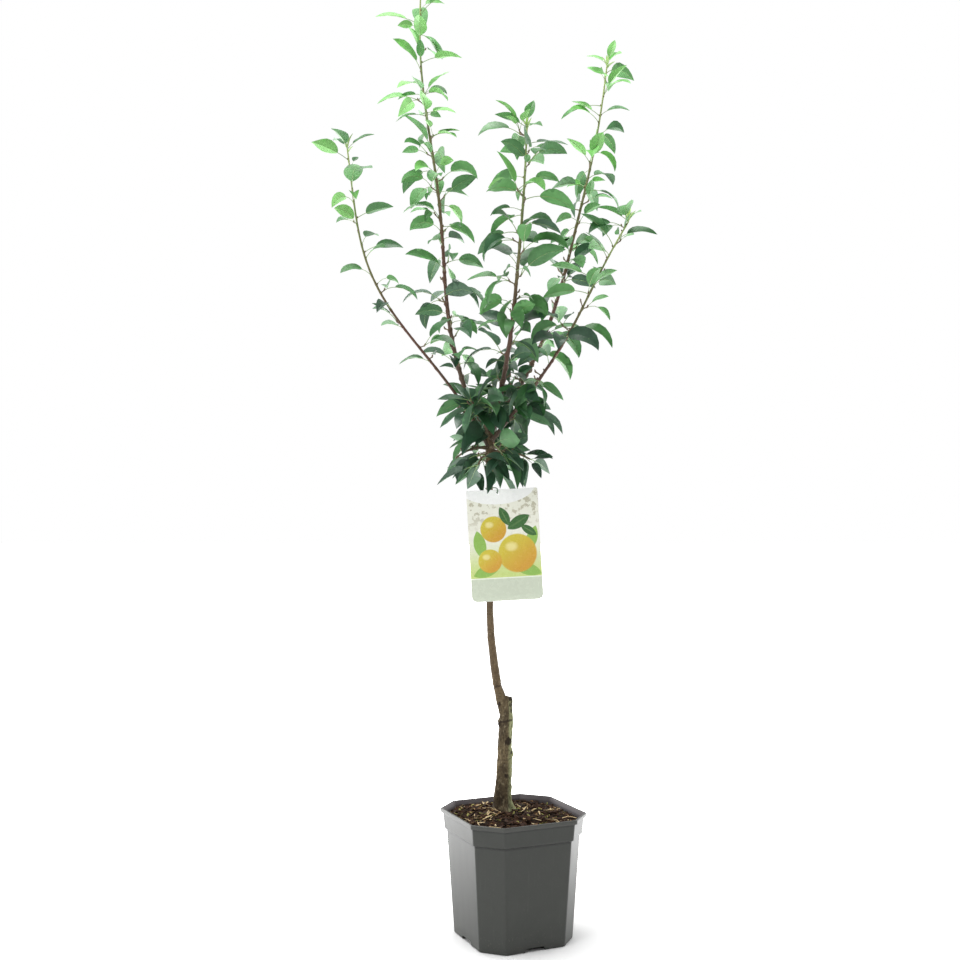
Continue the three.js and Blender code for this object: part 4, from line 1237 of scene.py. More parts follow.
class Crown:
    """Grows every mass's leaves, node by node up its stem, where they find room."""

    reach = 112.0
    trunk_rows = SCION[2:-1]
    bare_foot, bare_tip = 14, 3
    step_stray = (0.75, 1.25)
    tuft_size = {True: 0.9, False: 0.78}
    tuft_width, tuft_petiole = (0.44, 0.56), (10, 18)
    spur_rise = (15, 45)
    spur_petiole = 0.85
    fan_turn = 80

    def __init__(self) -> None:
        """Lays out the limbs' points with their radii and owners, and the masses' own lines."""
        stems = []
        for mass in MASSES:
            share = np.linspace(0, 1, max(4, int(self.length(mass) / 6)) + 1)
            stems.append((mass.name, self.at(mass, share), self.radius(mass, share)))
        for name, shoot in SHOOTS.items():
            share = bough_end(name) * np.linspace(0, 1, 25)
            stems.append((f"bough_{name}", shoot.at(share), shoot.radius(share)))
        rows = np.array(self.trunk_rows)[:, None]
        z, x, r = (rows[:-1] + (rows[1:] - rows[:-1]) * np.arange(10)[:, None] / 10).reshape(-1, 3).T
        stems.append(("trunk", np.stack([x, 0 * x + TRUNK_Y, z], -1), r))
        self.limb_points = np.concatenate([points for _, points, _ in stems])
        self.limb_radii = np.concatenate([radii for _, _, radii in stems])
        self.limb_owners = np.repeat([owner for owner, _, _ in stems], [len(radii) for _, _, radii in stems])
        self.lines = {mass.name: self.at(mass, np.arange(13) / 12) for mass in MASSES}
        self.leaf_points = {mass.name: no_points() for mass in MASSES}
        self.grown = {mass.name: Growth() for mass in MASSES}
        self.sprays = 0

    @property
    def nodes(self) -> list[Node]:
        """Every node that has grown."""
        return [node for growth in self.grown.values() for node in growth.nodes]

    def nodes_on(self, limb: str) -> list[Node]:
        """The nodes that have grown on one limb."""
        return [node for node in self.nodes if node.limb == limb]

    @staticmethod
    def at(mass: Mass, share: Array) -> Array:
        """Points at shares of a mass's stem."""
        return LIMBS[mass.on].at(within(mass.span, np.asarray(share, float)))

    @staticmethod
    def radius(mass: Mass, share: Array) -> Array:
        """Radii at shares of a mass's stem."""
        return LIMBS[mass.on].radius(within(mass.span, np.asarray(share, float)))

    def length(self, mass: Mass) -> float:
        """The length of a mass's stem, as the sum of 24 chords."""
        return float(np.linalg.norm(np.diff(self.at(mass, np.arange(25) / 24), axis=0), axis=1).sum())

    def look_round(self, mass: Mass, room: Room) -> None:
        """Keeps what lies within a mass's reach, with the room that its blades and stalks leave to it."""
        line = self.lines[mass.name]
        low, high = line.min(0) - self.reach, line.max(0) + self.reach
        near = ((self.limb_points > low) & (self.limb_points < high)).all(1)
        owner = self.limb_owners[near]
        own = owner == mass.name
        self.limbs = self.limb_points[near]
        radii = self.limb_radii[near]
        self.blade_room = radii + np.where(own, room.own_stem, room.limb)
        self.stalk_room = np.where(own | (owner == "trunk"), -1, radii + room.stalk)
        leaves = np.concatenate([v for k, v in self.leaf_points.items() if k != mass.name])
        self.others = leaves[((leaves > low) & (leaves < high)).all(1)]
        lines = np.concatenate([v for k, v in self.lines.items() if k != mass.name])
        self.other_lines = lines[((lines > low - 20) & (lines < high + 20)).all(1)]

    def clear(self, points: Array, room: Room) -> Array:
        """Whether sets of points of shape (sets, points, 3) keep clear of other limbs and masses."""
        return keeps(points, self.limbs, self.stalk_room) & keeps(points, self.others, room.other_leaf)

    def settle(self, mass: Mass, leaf: Leaf, growth: Growth, room: Room) -> bool:
        """Puts a leaf in if one of its tries keeps to the mass's own space and touches nothing."""
        tried = [replace(leaf, az=leaf.az + turn, rise=leaf.rise + lift) for turn, lift in TRIES]
        blade, stalk = Midribs(tried).test_points()
        low, high = CARD_KEEP_OUT
        good = ~((blade > low) & (blade < high)).all(2).any(1)
        for points, others, least in (
            (blade, self.limbs, self.blade_room),
            (blade, growth.blades, room.own_leaf),
            (stalk, growth.blades, room.own_stalk),
            (blade, growth.stalks, room.own_stalk),
            (blade, self.others, room.other_leaf),
        ):
            good &= keeps(points, others, least)
        own = gaps(blade, self.lines[mass.name]).min(2)
        good &= (own - gaps(blade, self.other_lines).min(2) <= room.share).all(1)
        good &= self.clear(stalk, room)
        if not good.any():
            return False
        chosen = int(np.argmax(good))
        growth.leaves.append(tried[chosen])
        growth.blades = np.concatenate([growth.blades, blade[chosen]])
        growth.stalks = np.concatenate([growth.stalks, stalk[chosen]])
        return True

    def grow(self, mass: Mass, turn: Round) -> None:
        """Grows one mass's leaves and spurs in one round, then the tuft at its tip."""
        habit, growth = turn.habit(mass), self.grown[mass.name]
        draws = Draws(mass.seed + turn.reseed)
        self.look_round(mass, turn.room)
        length = self.length(mass)
        on_twig = mass.on in TWIGS
        s = habit.step * 0.5 + (self.bare_foot if on_twig else 0)
        az = 360 * draws.one()
        while s < length - self.bare_tip:
            self.grow_node(mass, turn, draws, s / length, az)
            s += habit.step * within(self.step_stray, draws.one())
            az += NODE_TURN
        for k in range(habit.tuft):
            u = draws.some(5)
            size = within(habit.size, u[0]) * self.tuft_size[on_twig]
            leaf = Leaf(
                root=tuple(self.at(mass, 1.0)),
                length=size,
                width=size * within(self.tuft_width, u[2]),
                petiole=within(self.tuft_petiole, u[3]),
                az=az + k * 360 / habit.tuft + stray(40, u[4]),
                rise=habit.rise[0] + 4 + stray(22, u[1]),
                arch=46,
                roll=0,
                fold=20,
                spray=self.sprays,
            )
            self.settle(mass, leaf, growth, turn.room)
        self.sprays += 1
        self.leaf_points[mass.name] = np.concatenate([growth.blades, growth.stalks])

    def grow_node(self, mass: Mass, turn: Round, draws: Draws, share: float, az: float) -> None:
        """Grows one node: a single leaf, or a spur with a fan of leaves at its tip."""
        habit, growth = turn.habit(mass), self.grown[mass.name]
        on_spur = draws.one() < habit.spur
        least, most = habit.leaves
        count = least + int(draws.one() * (most - least + 1)) if on_spur else 1
        here = az + stray(50, draws.one())
        foot = self.at(mass, share)
        root, tip, open_way = foot, None, True
        if on_spur:
            reach = turn.spur_reach[0] + turn.spur_reach[1] * draws.one()
            e = math.radians(within(self.spur_rise, draws.one()))
            root = tip = foot + reach * (level_way(here) * math.cos(e) + [0, 0, math.sin(e)])
            open_way = bool(self.clear(np.array([[(foot + tip) / 2, tip]]), turn.room)[0])
        placed = 0
        for k in range(count):
            u = draws.some(7)
            size = within(habit.size, u[0])
            fan = (k - (count - 1) / 2) * self.fan_turn + stray(30, u[3]) if on_spur else 0
            leaf = Leaf(
                root=tuple(root),
                length=size,
                width=size * (0.46 + 0.14 * u[1]),
                petiole=(turn.petiole[0] + turn.petiole[1] * u[2]) * (self.spur_petiole if on_spur else 1),
                az=here + fan,
                rise=habit.rise[0] + stray(2 * habit.rise[1], u[4]) + (6 if k else 0),
                arch=habit.arch[0] + stray(2 * habit.arch[1], u[5]),
                roll=stray(110, u[6]),
                fold=16,
                spray=self.sprays,
            )
            placed += open_way and self.settle(mass, leaf, growth, turn.room)
        if on_spur and placed:
            growth.stalks = np.concatenate([growth.stalks, [(foot + tip) / 2, tip]])
        if placed or not on_spur:
            growth.nodes.append(
                Node(
                    limb=mass.on,
                    share=within(mass.span, share),
                    point=tuple(foot),
                    radius=float(self.radius(mass, share)),
                    az=here,
                    tip=tuple(tip) if on_spur else None,
                )
            )
        self.sprays += 1


def bough_end(name: str) -> float:
    """The share of a shoot where its first mass begins."""
    return min(mass.span[0] for mass in MASSES if mass.on == name)


# Sub-assemblies

@dataclass(frozen=True)
class Relief:
    """Noise as relief: its cell, octaves, seed and height, and how much z is squeezed in it."""

    size: float
    octaves: int
    seed: int
    height: float
    squeeze: float = 1

    def on(self, points: Array) -> Array:
        """The relief's height at points."""
        return rough(points * [1, 1, self.squeeze], self.size, self.octaves, self.seed) * self.height


@dataclass
class Pot:
    """The eight-sided pot.

    A profile runs from the middle of its underside over the lip to its floor's middle, and is carried round
    an octagon with rounded corners. levels are heights and half widths: the base edge, the wall's foot and
    top, the band's foot and top, and the lip's foot and top. The other rows of the profile are half widths
    and heights, some of them as strays from a level's. notch holds the width, height and depth of the
    notches in the base edge.
    """

    turn: float = 24
    corner_share: float = 0.38
    corner_radius: float = 5
    wall: float = 1.8
    lip_inset: float = 3.2
    floor_z: float = 2.8
    side_steps: tuple[int, int] = (44, 10)
    corner_steps: int = 7
    notch: tuple[float, float, float] = (31, 6.5, 9)
    levels: tuple[Pair, ...] = (
        (0, 79.4), (2.5, 81), (163.5, 91.4), (165.5, 94.5), (190.4, 96.6), (191.4, 100), (197.6, 100.2),
    )
    underside: tuple[Pair, ...] = (
        (0.5, 1.2), (40, 1.2), (62, 1.2), (65, 0.9), (67, 0.1), (69, 0), (71, 0), (73, 0), (78.2, 0),
    )
    rib_height: float = 0.1
    rib_levels: Pair = (8, 160)
    plastic: Finish = PotPlastic(
        "moulded_plastic",
        marks=(
            ((16.2, -81.5, 21.8), 1.9), ((47.5, -67.6, 23.2), 1.7), ((87, -34, 17), 1.8),
            ((-100.5, -4, 188.5), 3.2), ((97, -16.5, 188.5), 3.2),
        ),
        # Painted shade under the rim's lip and under the band.
        crease_shades=((190.5, 3.6), (163.4, 4.4)),
    )
    inside: Finish = PotPlastic(
        "moulded_plastic_inside", (0.066, 0.056, 0.062), (0.13, 0.115, 0.12), roughness=0.5
    )

    def profile(self) -> tuple[Array, int]:
        """Half widths and heights along the profile, and the number of the row where the inside begins."""
        (_, h0), (z1, h1), (z2, h2), (z3, h3), (z4, h4), (z5, h5), (z6, h6) = self.levels
        inner, wall_in = h6 - self.lip_inset, self.wall
        up_wall = (0.012, 0.024, 0.04, *np.linspace(0.08, 0.99, 24))
        outer = [
            *self.underside,
            *((h0, 0.25), (h0 + 0.9, 0.9), (h1 - 0.15, 1.7), (h1, z1)),
            *((within((h1, h2), t), within((z1, z2), t)) for t in up_wall),
            *((h2, z2 - 0.4), (h2 + 0.5, z2 + 0.1), (h3 - 0.7, z3 - 0.7), (h3 - 0.1, z3)),
            *((within((h3, h4), t), within((z3, z4), t)) for t in np.linspace(0.05, 0.96, 9)),
            *((h4, z4 - 0.35), (h4 + 0.5, z4), (h5 - 0.9, z4 + 0.35), (h5 - 0.2, z5), (h5 + 0.05, z5 + 1)),
            *((h6, z6 - 1.6), (h6 - 0.15, z6 - 0.5), (h6 - 0.7, z6 - 0.05), (h6 - 1.6, z6)),
            *((inner + 0.7, z6), (inner + 0.2, z6 - 0.2), (inner, z6 - 0.8)),
        ]
        down = [
            *((h4 - wall_in, z4), (h3 - wall_in, z3 + wall_in), (h2 - wall_in, z2 + wall_in)),
            *((h2 - wall_in + (h1 - h2) * t, within((z2, 6), t)) for t in (0.1, 0.5, 1)),
            *((h1 - wall_in - 1, self.floor_z), (60, self.floor_z), (0.5, self.floor_z)),
        ]
        return np.array(outer + down), len(outer) - 2

    def outline(self, half: Array) -> tuple[Array, Array]:
        """Points round the octagon for each half width, and each point's place along its side.

        A corner is an arc about the corner of a smaller octagon, and a side runs from arc to arc. Chamfers
        lie (2 half - cut) / sqrt 2 from the middle, where cut is the corner's share of the half width. A
        place is from -1 to 1 along a long side, and not a number elsewhere.
        """
        half = np.asarray(half, float)[:, None]
        radius = np.minimum(self.corner_radius, half * 0.3)
        chamfer = (2 * half - half * self.corner_share) / math.sqrt(2)
        x = half - radius
        y = math.sqrt(2) * (chamfer - radius) - x
        sweep = np.arange(self.corner_steps) / (self.corner_steps - 1)
        arcs = [
            np.stack([cx, cy], -1) + radius[..., None] * on_circle(np.radians(first + 45 * sweep))
            for cx, cy, first in ((x, -y, -45), (x, y, 0))
        ]
        following = np.stack(turned(arcs[0][:, 0, 0], arcs[0][:, 0, 1], 90), -1)
        nowhere = np.full(self.corner_steps, np.nan)
        quarter, places = [], []
        for arc, end, steps in zip(arcs, (arcs[1][:, 0], following), self.side_steps):
            t = np.arange(1, steps) / steps
            start = arc[:, -1]
            quarter += [arc, start[:, None] + (end - start)[:, None] * t[:, None]]
            places += [nowhere, t * 2 - 1 if steps == self.side_steps[0] else np.full(steps - 1, np.nan)]
        quarter = np.concatenate(quarter, axis=1)
        rows = [np.stack(turned(quarter[..., 0], quarter[..., 1], 90 * k), -1) for k in range(4)]
        return np.concatenate(rows, axis=1), np.tile(np.concatenate(places), 4)

    def shape(self) -> Shape:
        """The whole pot as one closed surface.

        On each long side the base edge is lifted into a notch: the lower rows are pressed together under
        its ceiling. Faint upright ribs stand on the wall, as raised cosines of the place along the side.
        """
        profile, inside_row = self.profile()
        half, level = profile[:, :1], profile[:, 1:]
        flat, place = self.outline(profile[:, 0])
        count, sides = flat.shape[:2]
        outer = np.arange(count)[:, None] < inside_row
        width, height, depth = self.notch
        along = np.nan_to_num(place, nan=9) * (half * (1 - self.corner_share) - 2)
        notched = smooth(np.abs(along), width / 2 + 0.6, width / 2 - 0.6) * (half > self.levels[0][1] - depth)
        z = np.repeat(level, sides, axis=1)
        lifted = height - (height - z) * (1 - 0.94 * notched)
        z = np.where(outer & (z < height), lifted, z)
        z = np.where(~outer & (z < height + 2), z + (height + 2 - z) * 0.9 * notched, z)
        low, high = self.rib_levels
        ribs = np.cos(np.nan_to_num(place, nan=0.5) * 12 * math.pi) ** 8 * self.rib_height
        on_wall = outer & (level > low) & (level < high) & ~np.isnan(place)
        scale = 1 - np.where(on_wall, ribs, 0) / half
        points = np.stack([*turned(flat[..., 0] * scale, flat[..., 1] * scale, self.turn), z], -1)
        shape = capped(points, [[0, 0, profile[0, 1]], [0, 0, profile[-1, 1]]])
        wall_slots = (np.arange(len(shape.faces[0])) // sides >= inside_row).astype(int)
        shape.slots = [wall_slots, np.zeros(sides, int), np.ones(sides, int)]
        return shape

    def inside_half(self, z: float) -> float:
        """Half the width of the pot's inside at a height."""
        return float(np.interp(z, *zip(*self.levels))) - self.wall

    def build(self) -> None:
        """Makes the pot."""
        finishes = [self.plastic, self.inside]
        add_piece("nursery_pot", self.shape(), finishes, ["pot"], crease=32)


@dataclass(frozen=True)
class Scatter:
    """One kind of litter: how many slivers, the spans of their three sizes, and how much they stand up."""

    name: str
    count: int
    length: Pair
    width: Pair
    thick: Pair
    stand: float
    finish: Finish


@dataclass
class Soil:
    """The potting soil: a crumbly top that rises from the wall to the trunk's foot, and litter on it.

    lumps, clods and crumbs are its relief, from which sunk is taken. pile holds the height, radius and width
    of a ring of soil round the trunk, and hem the shares and heights of the rings below the top's edge.
    Litter keeps clear_foot from the trunk's foot and clear_wall from the wall.
    """

    pot: Pot
    foot: Pair = (-16.3, TRUNK_Y)
    edge_z: float = 186.0
    foot_z: float = 195.4
    pad_radius: float = 21
    inner_radius: float = 8
    bottom_z: float = 9.6
    steps: tuple[int, int] = (300, 130)
    seed: int = 31
    lumps: Relief = Relief(34, 2, 31, 1.7)
    clods: Relief = Relief(9, 3, 38, 2.6)
    crumbs: Relief = Relief(3.2, 2, 50, 0.75)
    sunk: float = 1.6
    pile: tuple[float, float, float] = (1.2, 20, 6)
    hem: tuple[Pair, ...] = ((1.0, 178), (0.985, 168), (0.94, 160))
    clear_foot: float = 18
    clear_wall: float = 3
    peat: Finish = Peat("peat")
    litter: tuple[Scatter, ...] = (
        Scatter(
            "straw", 100, (9, 26), (1.2, 2.9), (0.3, 0.8), 5,
            Litter("straw", (0.72, 0.58, 0.35), (0.42, 0.28, 0.13)),
        ),
        Scatter(
            "bark_chips", 560, (4, 15), (2.4, 6.5), (0.8, 2.4), 2.5,
            Litter("bark_chip", (0.054, 0.023, 0.010), (0.012, 0.006, 0.004)),
        ),
        Scatter(
            "pale_chips", 130, (4, 12), (1.6, 4.2), (0.5, 1.4), 2,
            Litter("pale_chip", (0.26, 0.155, 0.07), (0.085, 0.043, 0.02)),
        ),
        Scatter(
            "green_scraps", 100, (5, 13), (1.6, 3.6), (0.4, 0.9), 2.5,
            Litter("green_scrap", (0.33, 0.31, 0.09), (0.10, 0.09, 0.03)),
        ),
    )

    def wall_reach(self, angle: Array) -> Array:
        """How far the pot's wall is from the trunk's foot towards an angle: the nearest of its 8 planes."""
        half = self.pot.inside_half(self.edge_z)
        chamfer = half * (2 - self.pot.corner_share) / math.sqrt(2)
        normals = on_circle(np.radians(self.pot.turn + 45 * np.arange(8)))
        planes = np.where(np.arange(8) % 2 == 0, half, chamfer) - normals @ np.array(self.foot)
        way = on_circle(angle) @ normals.T
        return np.where(way > 1e-6, planes / np.maximum(way, 1e-6), np.inf).min(-1)

    def height(self, x: Array, y: Array) -> Array:
        """The soil's height: a rise from wall to foot, with its relief and the ring round the trunk."""
        dx, dy = x - self.foot[0], y - self.foot[1]
        reach = self.wall_reach(np.arctan2(dy, dx))
        away = np.hypot(dx, dy)
        share = np.clip((reach - away) / (reach - self.pad_radius), 0, 1)
        flat = np.stack([x, y, 0 * x], -1)
        lumps = self.lumps.on(flat) * smooth(share, 0, 0.2)
        relief = lumps + np.abs(self.clods.on(flat)) + self.crumbs.on(flat)
        height, radius, width = self.pile
        pile = height * np.exp(-(((away - radius) / width) ** 2))
        return within((self.edge_z, self.foot_z), share**0.8) + relief - self.sunk + pile

    def top(self) -> Shape:
        """The top and the hidden body: rings from the foot out to the wall, then down it and in below.

        The rings below are the outermost one, scaled about the pot's middle.
        """
        sides, rings = self.steps
        angle = np.arange(sides) * 2 * math.pi / sides
        share = np.linspace(0, 1, rings)[:, None]
        away = self.inner_radius + (self.wall_reach(angle) - 0.05 - self.inner_radius) * share
        x = self.foot[0] + away * np.cos(angle)
        y = self.foot[1] + away * np.sin(angle)
        z = self.height(x, y)
        low = self.pot.inside_half(self.bottom_z) / self.pot.inside_half(self.edge_z) - 0.01
        under = [*self.hem, (low, self.bottom_z), (0.05, self.bottom_z)]
        rows = [np.stack([x, y, z], -1)]
        rows += [np.stack([x[-1] * k, y[-1] * k, 0 * x[-1] + depth], -1)[None] for k, depth in under]
        return capped(np.concatenate(rows), [[*self.foot, z[0].mean()], [0, 0, self.bottom_z]], flip=True)

    def slivers(self, kind: Scatter, seed: int) -> Shape:
        """Flat bent slivers of one kind that lie on the soil at random.

        Each is a strip of three cross-sections. Its middle lies on the soil, its ends follow the soil's
        slope with a stray that grows with how they stand, and its middle is raised or sunk a little.
        """
        rng = np.random.default_rng(seed)
        count = kind.count
        angle = rng.uniform(0, 2 * math.pi, count)
        reach = self.wall_reach(angle) - self.clear_wall
        away = np.sqrt(rng.uniform(self.clear_foot**2, reach**2))
        x, y = self.foot[0] + away * np.cos(angle), self.foot[1] + away * np.sin(angle)
        yaw = rng.uniform(0, 2 * math.pi, count)
        half = rng.uniform(*kind.length, count) / 2
        half = np.minimum(half, np.maximum(2, (reach - away) * 0.8 + 1))
        broad = rng.uniform(*kind.width, count) / 2
        deep = rng.uniform(*kind.thick, count) / 2
        t = np.array([-1, 0, 1])
        px = x[:, None] + half[:, None] * np.cos(yaw)[:, None] * t
        py = y[:, None] + half[:, None] * np.sin(yaw)[:, None] * t
        lift = rng.uniform(0.1, 1.2, count)[:, None] + rng.uniform(-1, 1.4, (count, 3)) * 0.7
        stands = np.abs(rng.uniform(-1, 1, count))[:, None] * kind.stand
        lift = lift + stands * (1 + t * np.sign(away - reach / 2)[:, None]) / 2
        pz = self.height(px, py) * 0.6 + self.height(x, y)[:, None] * 0.4 + lift
        path = np.stack([px, py, pz], -1)
        along = unit(path[:, 2] - path[:, 0])
        tilt = rng.uniform(-0.5, 0.5, count)
        level = unit(np.cross([0, 0, 1.0], along))
        upper = np.cross(along, level)
        side = (level * np.cos(tilt)[:, None] + upper * np.sin(tilt)[:, None])[:, None]
        over = np.cross(along[:, None], side)
        taper = np.stack([rng.uniform(0.35, 1, count), np.ones(count), rng.uniform(0.35, 1, count)], -1)
        b, d = (broad[:, None] * taper)[..., None], (deep[:, None] * taper**0.5)[..., None]
        corners = [path + side * b * i + over * d * j for i, j in ((-1, -1), (1, -1), (1, 1), (-1, 1))]
        caps = np.array([[3, 2, 1, 0], [8, 9, 10, 11]])
        return alike(np.stack(corners, 2).reshape(count, 12, 3), (grid_faces(3, 4), caps))

    def build(self) -> None:
        """Makes the soil and the straw, bark chips and green scraps on it."""
        add_piece("soil_top", self.top(), [self.peat], ["potting_soil"])
        for number, kind in enumerate(self.litter):
            shape = self.slivers(kind, self.seed + number)
            add_piece(f"soil_{kind.name}", shape, [kind.finish], crease=40)


@dataclass(frozen=True)
class Knot:
    """A bump on the bark: its height up the trunk, its azimuth, how far it stands out, and its size."""

    z: float
    az: float
    out: float
    size: Pair


@dataclass
class Trunk:
    """The trunk: the stock with its root flare and cut stub, and the scion that grows from its side.

    stock holds heights, the middle's x, radii and how strong the root lobes are. middle is the line that
    both stems hold round the graft, as heights and x, and meeting its span. join is how softly the two
    meet. rows counts those below the stub's cut, on it and above it. layers are the furrows, plates and
    grain of the bark, with their share on young bark and what old bark adds. head and torn are the relief
    on the head, over head_span, and on the cut.
    """

    sides: int = 110
    rows: tuple[int, int, int] = (150, 5, 380)
    foot_z: float = 190
    top_z: float = 811.2
    stock: tuple[tuple[float, float, float, float], ...] = (
        (190, -16.3, 24, 0.22), (196, -16.3, 18.5, 0.17), (202, -16.2, 15.4, 0.10), (212, -16.0, 14.0, 0.05),
        (224, -15.4, 13.8, 0.02), (253, -13.8, 13.2, 0), (285, -12.5, 12.2, 0), (305, -11.9, 11.8, 0),
        (335, -11.2, 12.0, 0), (356, -10.8, 10.7, 0), (368, -8.6, 9.0, 0), (374, -7.3, 8.0, 0),
        (376.6, -6.9, 6.2, 0),
    )
    middle: tuple[Pair, ...] = (
        (340, -11.4), (350, -12.0), (362, -13.2), (376.6, -12.2), (380, -16.5), (388, -22.5), (395, -25),
    )
    lobes: int = 5
    join: float = 2.0
    meeting: Pair = (340, 395)
    straightens: Pair = (395, 440)
    old_bark: Pair = (352, 420)
    layers: tuple[tuple[Relief, float, float], ...] = (
        (Relief(6, 3, 5, 1, 0.4), 0.25, 1.3), (Relief(15, 3, 9, 1, 0.7), 0.25, 0.95),
        (Relief(2.4, 2, 13, 1), 0.05, 0.22),
    )
    head: Relief = Relief(7, 2, 21, 1.3)
    head_span: tuple[Pair, Pair] = ((790, 806), (806, 812))
    torn: Relief = Relief(5, 2, 17, 2.0, 0.01)
    knots: tuple[Knot, ...] = (
        Knot(335, 188, 2.4, (5, 5)), Knot(306, 300, 1.6, (8, 7)), Knot(283, 8, 2.4, (5.5, 5)),
        Knot(229, 350, 2.4, (5, 5)), Knot(362, 195, 2.6, (9, 8)), Knot(402, 330, 0.9, (2.5, 9)),
        Knot(212, 200, 1.8, (6, 6)), Knot(262, 130, 1.5, (5, 5)), Knot(247, 215, 1.0, (6, 6)),
        Knot(352, 80, 1.2, (5, 5)), Knot(292, 60, 1.2, (5, 4)), Knot(393, 235, -0.8, (1.3, 9)),
        Knot(368, 215, -0.9, (1.5, 8)), Knot(278, 250, -0.6, (1.3, 12)), Knot(418, 20, 0.8, (4, 3)),
        Knot(470, 190, 0.7, (4, 3)), Knot(531, 330, 0.7, (4, 3)), Knot(588, 200, 0.7, (4, 3)),
        Knot(648, 40, 0.8, (4, 3)), Knot(702, 250, 0.9, (4, 3)), Knot(748, 120, 1.2, (5, 4)),
        Knot(772, 300, 1.4, (5, 4)),
    )
    bark: Finish = TrunkBark(
        "trunk_bark",
        scars=(
            ((-6.0, 5.0, 306), 8.4), ((-1.0, 9.5, 374), 6.5), ((-0.5, 9, 364), 6.5), ((-0.5, 9, 354), 5.5),
            ((-22.5, 13, 331), 4.2), ((-1.5, 8, 243), 3.6), ((-10.5, 2.5, 251), 4.6), ((-28, 15, 250), 3.5),
            ((-24, 6, 365), 5.5), ((-1, 8, 288), 4.5),
        ),
        lines=((401.9, 0.36, 1.7, 0.75), (340.6, 0.36, 2.6, 0.8), (278.5, 0.1, 1.6, 0.5)),
    )

    @staticmethod
    def column(rows: Sequence[Sequence[float]], z: Array, k: int, soften: float = 3) -> Array:
        """One column of a profile, between its rows evenly, as a weighted mean over a few millimetres."""
        table = np.array(rows)
        steps = np.linspace(-2, 2, 9)
        weights = np.exp(-(steps**2) / 2)
        spread = np.interp(z[:, None] + steps * soften, table[:, 0], table[:, k])
        return (spread * weights).sum(1) / weights.sum()

    @staticmethod
    def from_middle(middle: Array, x: Array, r: Array, angle: Array) -> Array:
        """How far a circle about x lies from the middle line towards each angle, by the cosine rule."""
        off = x - middle
        under = np.maximum(r**2 - (off * np.sin(angle)) ** 2, 0)
        return off * np.cos(angle) + np.sqrt(under)

    def outline(self, z: Array, angle: Array, shelf: Array) -> tuple[Array, Array]:
        """The middle line's x, and how far the smooth outline lies from it towards each angle.

        Below the graft's top the outline is the further of stock and scion, joined by a smooth maximum
        (a + b + sqrt((a - b)^2 + k)) / 2. With shelf, from 0 to 1, it shrinks to the scion's.
        """
        low = z[:, 0]
        stock_x, stock_r, lobe = (self.column(self.stock, low, k) for k in (1, 2, 3))
        blend = smooth(low, *self.straightens)
        scion_x = self.column(SCION, low, 1, 14) * blend + self.column(SCION, low, 1, 5) * (1 - blend)
        middle = np.where(low < self.meeting[0], stock_x, np.interp(low, *zip(*self.middle)))
        middle = np.where(low > self.meeting[1], scion_x, middle)[:, None]
        flare = 1 + lobe[:, None] * np.cos(self.lobes * angle + 0.4 * np.sin(2 * angle))
        stock = self.from_middle(middle, stock_x[:, None], stock_r[:, None] * flare, angle)
        scion = self.from_middle(middle, scion_x[:, None], self.column(SCION, low, 2)[:, None], angle)
        both = (stock + scion + np.sqrt((stock - scion) ** 2 + self.join)) / 2
        reach = np.where(z < SCION[0][0], stock, both)
        return middle, reach * (1 - shelf) + scion * shelf

    def relief(self, at: Array, z: Array, angle: Array, reach: Array) -> Array:
        """How far the bark stands out: furrows, plates and grain, deepest on the stock, and knots.

        The first three are noise stretched upwards. A knot is a bell-shaped bump with a dent in it.
        """
        old = 1 - smooth(z, *self.old_bark)
        furrows, plates, grain = (layer.on(at) * (young + more * old) for layer, young, more in self.layers)
        up, down = (smooth(z, *span) for span in self.head_span)
        head = up * (1 - down) * self.head.on(at)
        bumps = 0
        for knot in self.knots:
            around = np.angle(np.exp(1j * (angle - math.radians(knot.az)))) * reach
            fall = ((z - knot.z) / knot.size[0]) ** 2 + (around / knot.size[1]) ** 2
            bumps = bumps + knot.out * (np.exp(-fall) - 0.45 * np.exp(-fall * 7))
        return -np.abs(furrows) + plates + grain + bumps + head

    def shape(self) -> Shape:
        """The trunk as one grid round its middle line.

        At the stub's cut several rows lie at one height, which leaves a shelf with a torn edge. The top is
        rounded off.
        """
        cut = self.stock[-1][0]
        below, on_cut, above = self.rows
        low, high = np.linspace(self.foot_z, cut, below), np.linspace(cut + 0.15, self.top_z, above)
        z = np.concatenate([low, np.full(on_cut, cut), high])[:, None]
        shelf = np.concatenate([np.zeros(below), np.linspace(0.2, 0.9, on_cut), np.ones(above)])[:, None]
        angle = (np.arange(self.sides) * 2 * math.pi / self.sides)[None]
        middle, reach = self.outline(z, angle, shelf)
        level = 0 * (z + angle)
        centre = np.stack([middle + level, TRUNK_Y + level, z + level], -1)
        way = np.stack([np.cos(angle) + level, np.sin(angle) + level, level], -1)
        reach = np.maximum(reach + self.relief(centre + way * reach[..., None], z, angle, reach), 0.5)
        reach = reach * np.sqrt(np.clip((self.top_z + 0.4 - z) / 5.5, 0.02, 1))
        at = centre + way * reach[..., None]
        torn = smooth(z, 364, cut) * (1 - smooth(z, cut + 0.1, cut + 4))
        at[..., 2] += torn * (self.torn.on(at) - 0.12 * (at[..., 0] + 12))
        return capped(at, [[middle[0, 0], TRUNK_Y, z[0, 0]], [middle[-1, 0], TRUNK_Y, z[-1, 0] + 0.2]])

    def build(self) -> None:
        """Makes the trunk."""
        add_piece("trunk_with_bark", self.shape(), [self.bark], ["trunk"], crease=60)


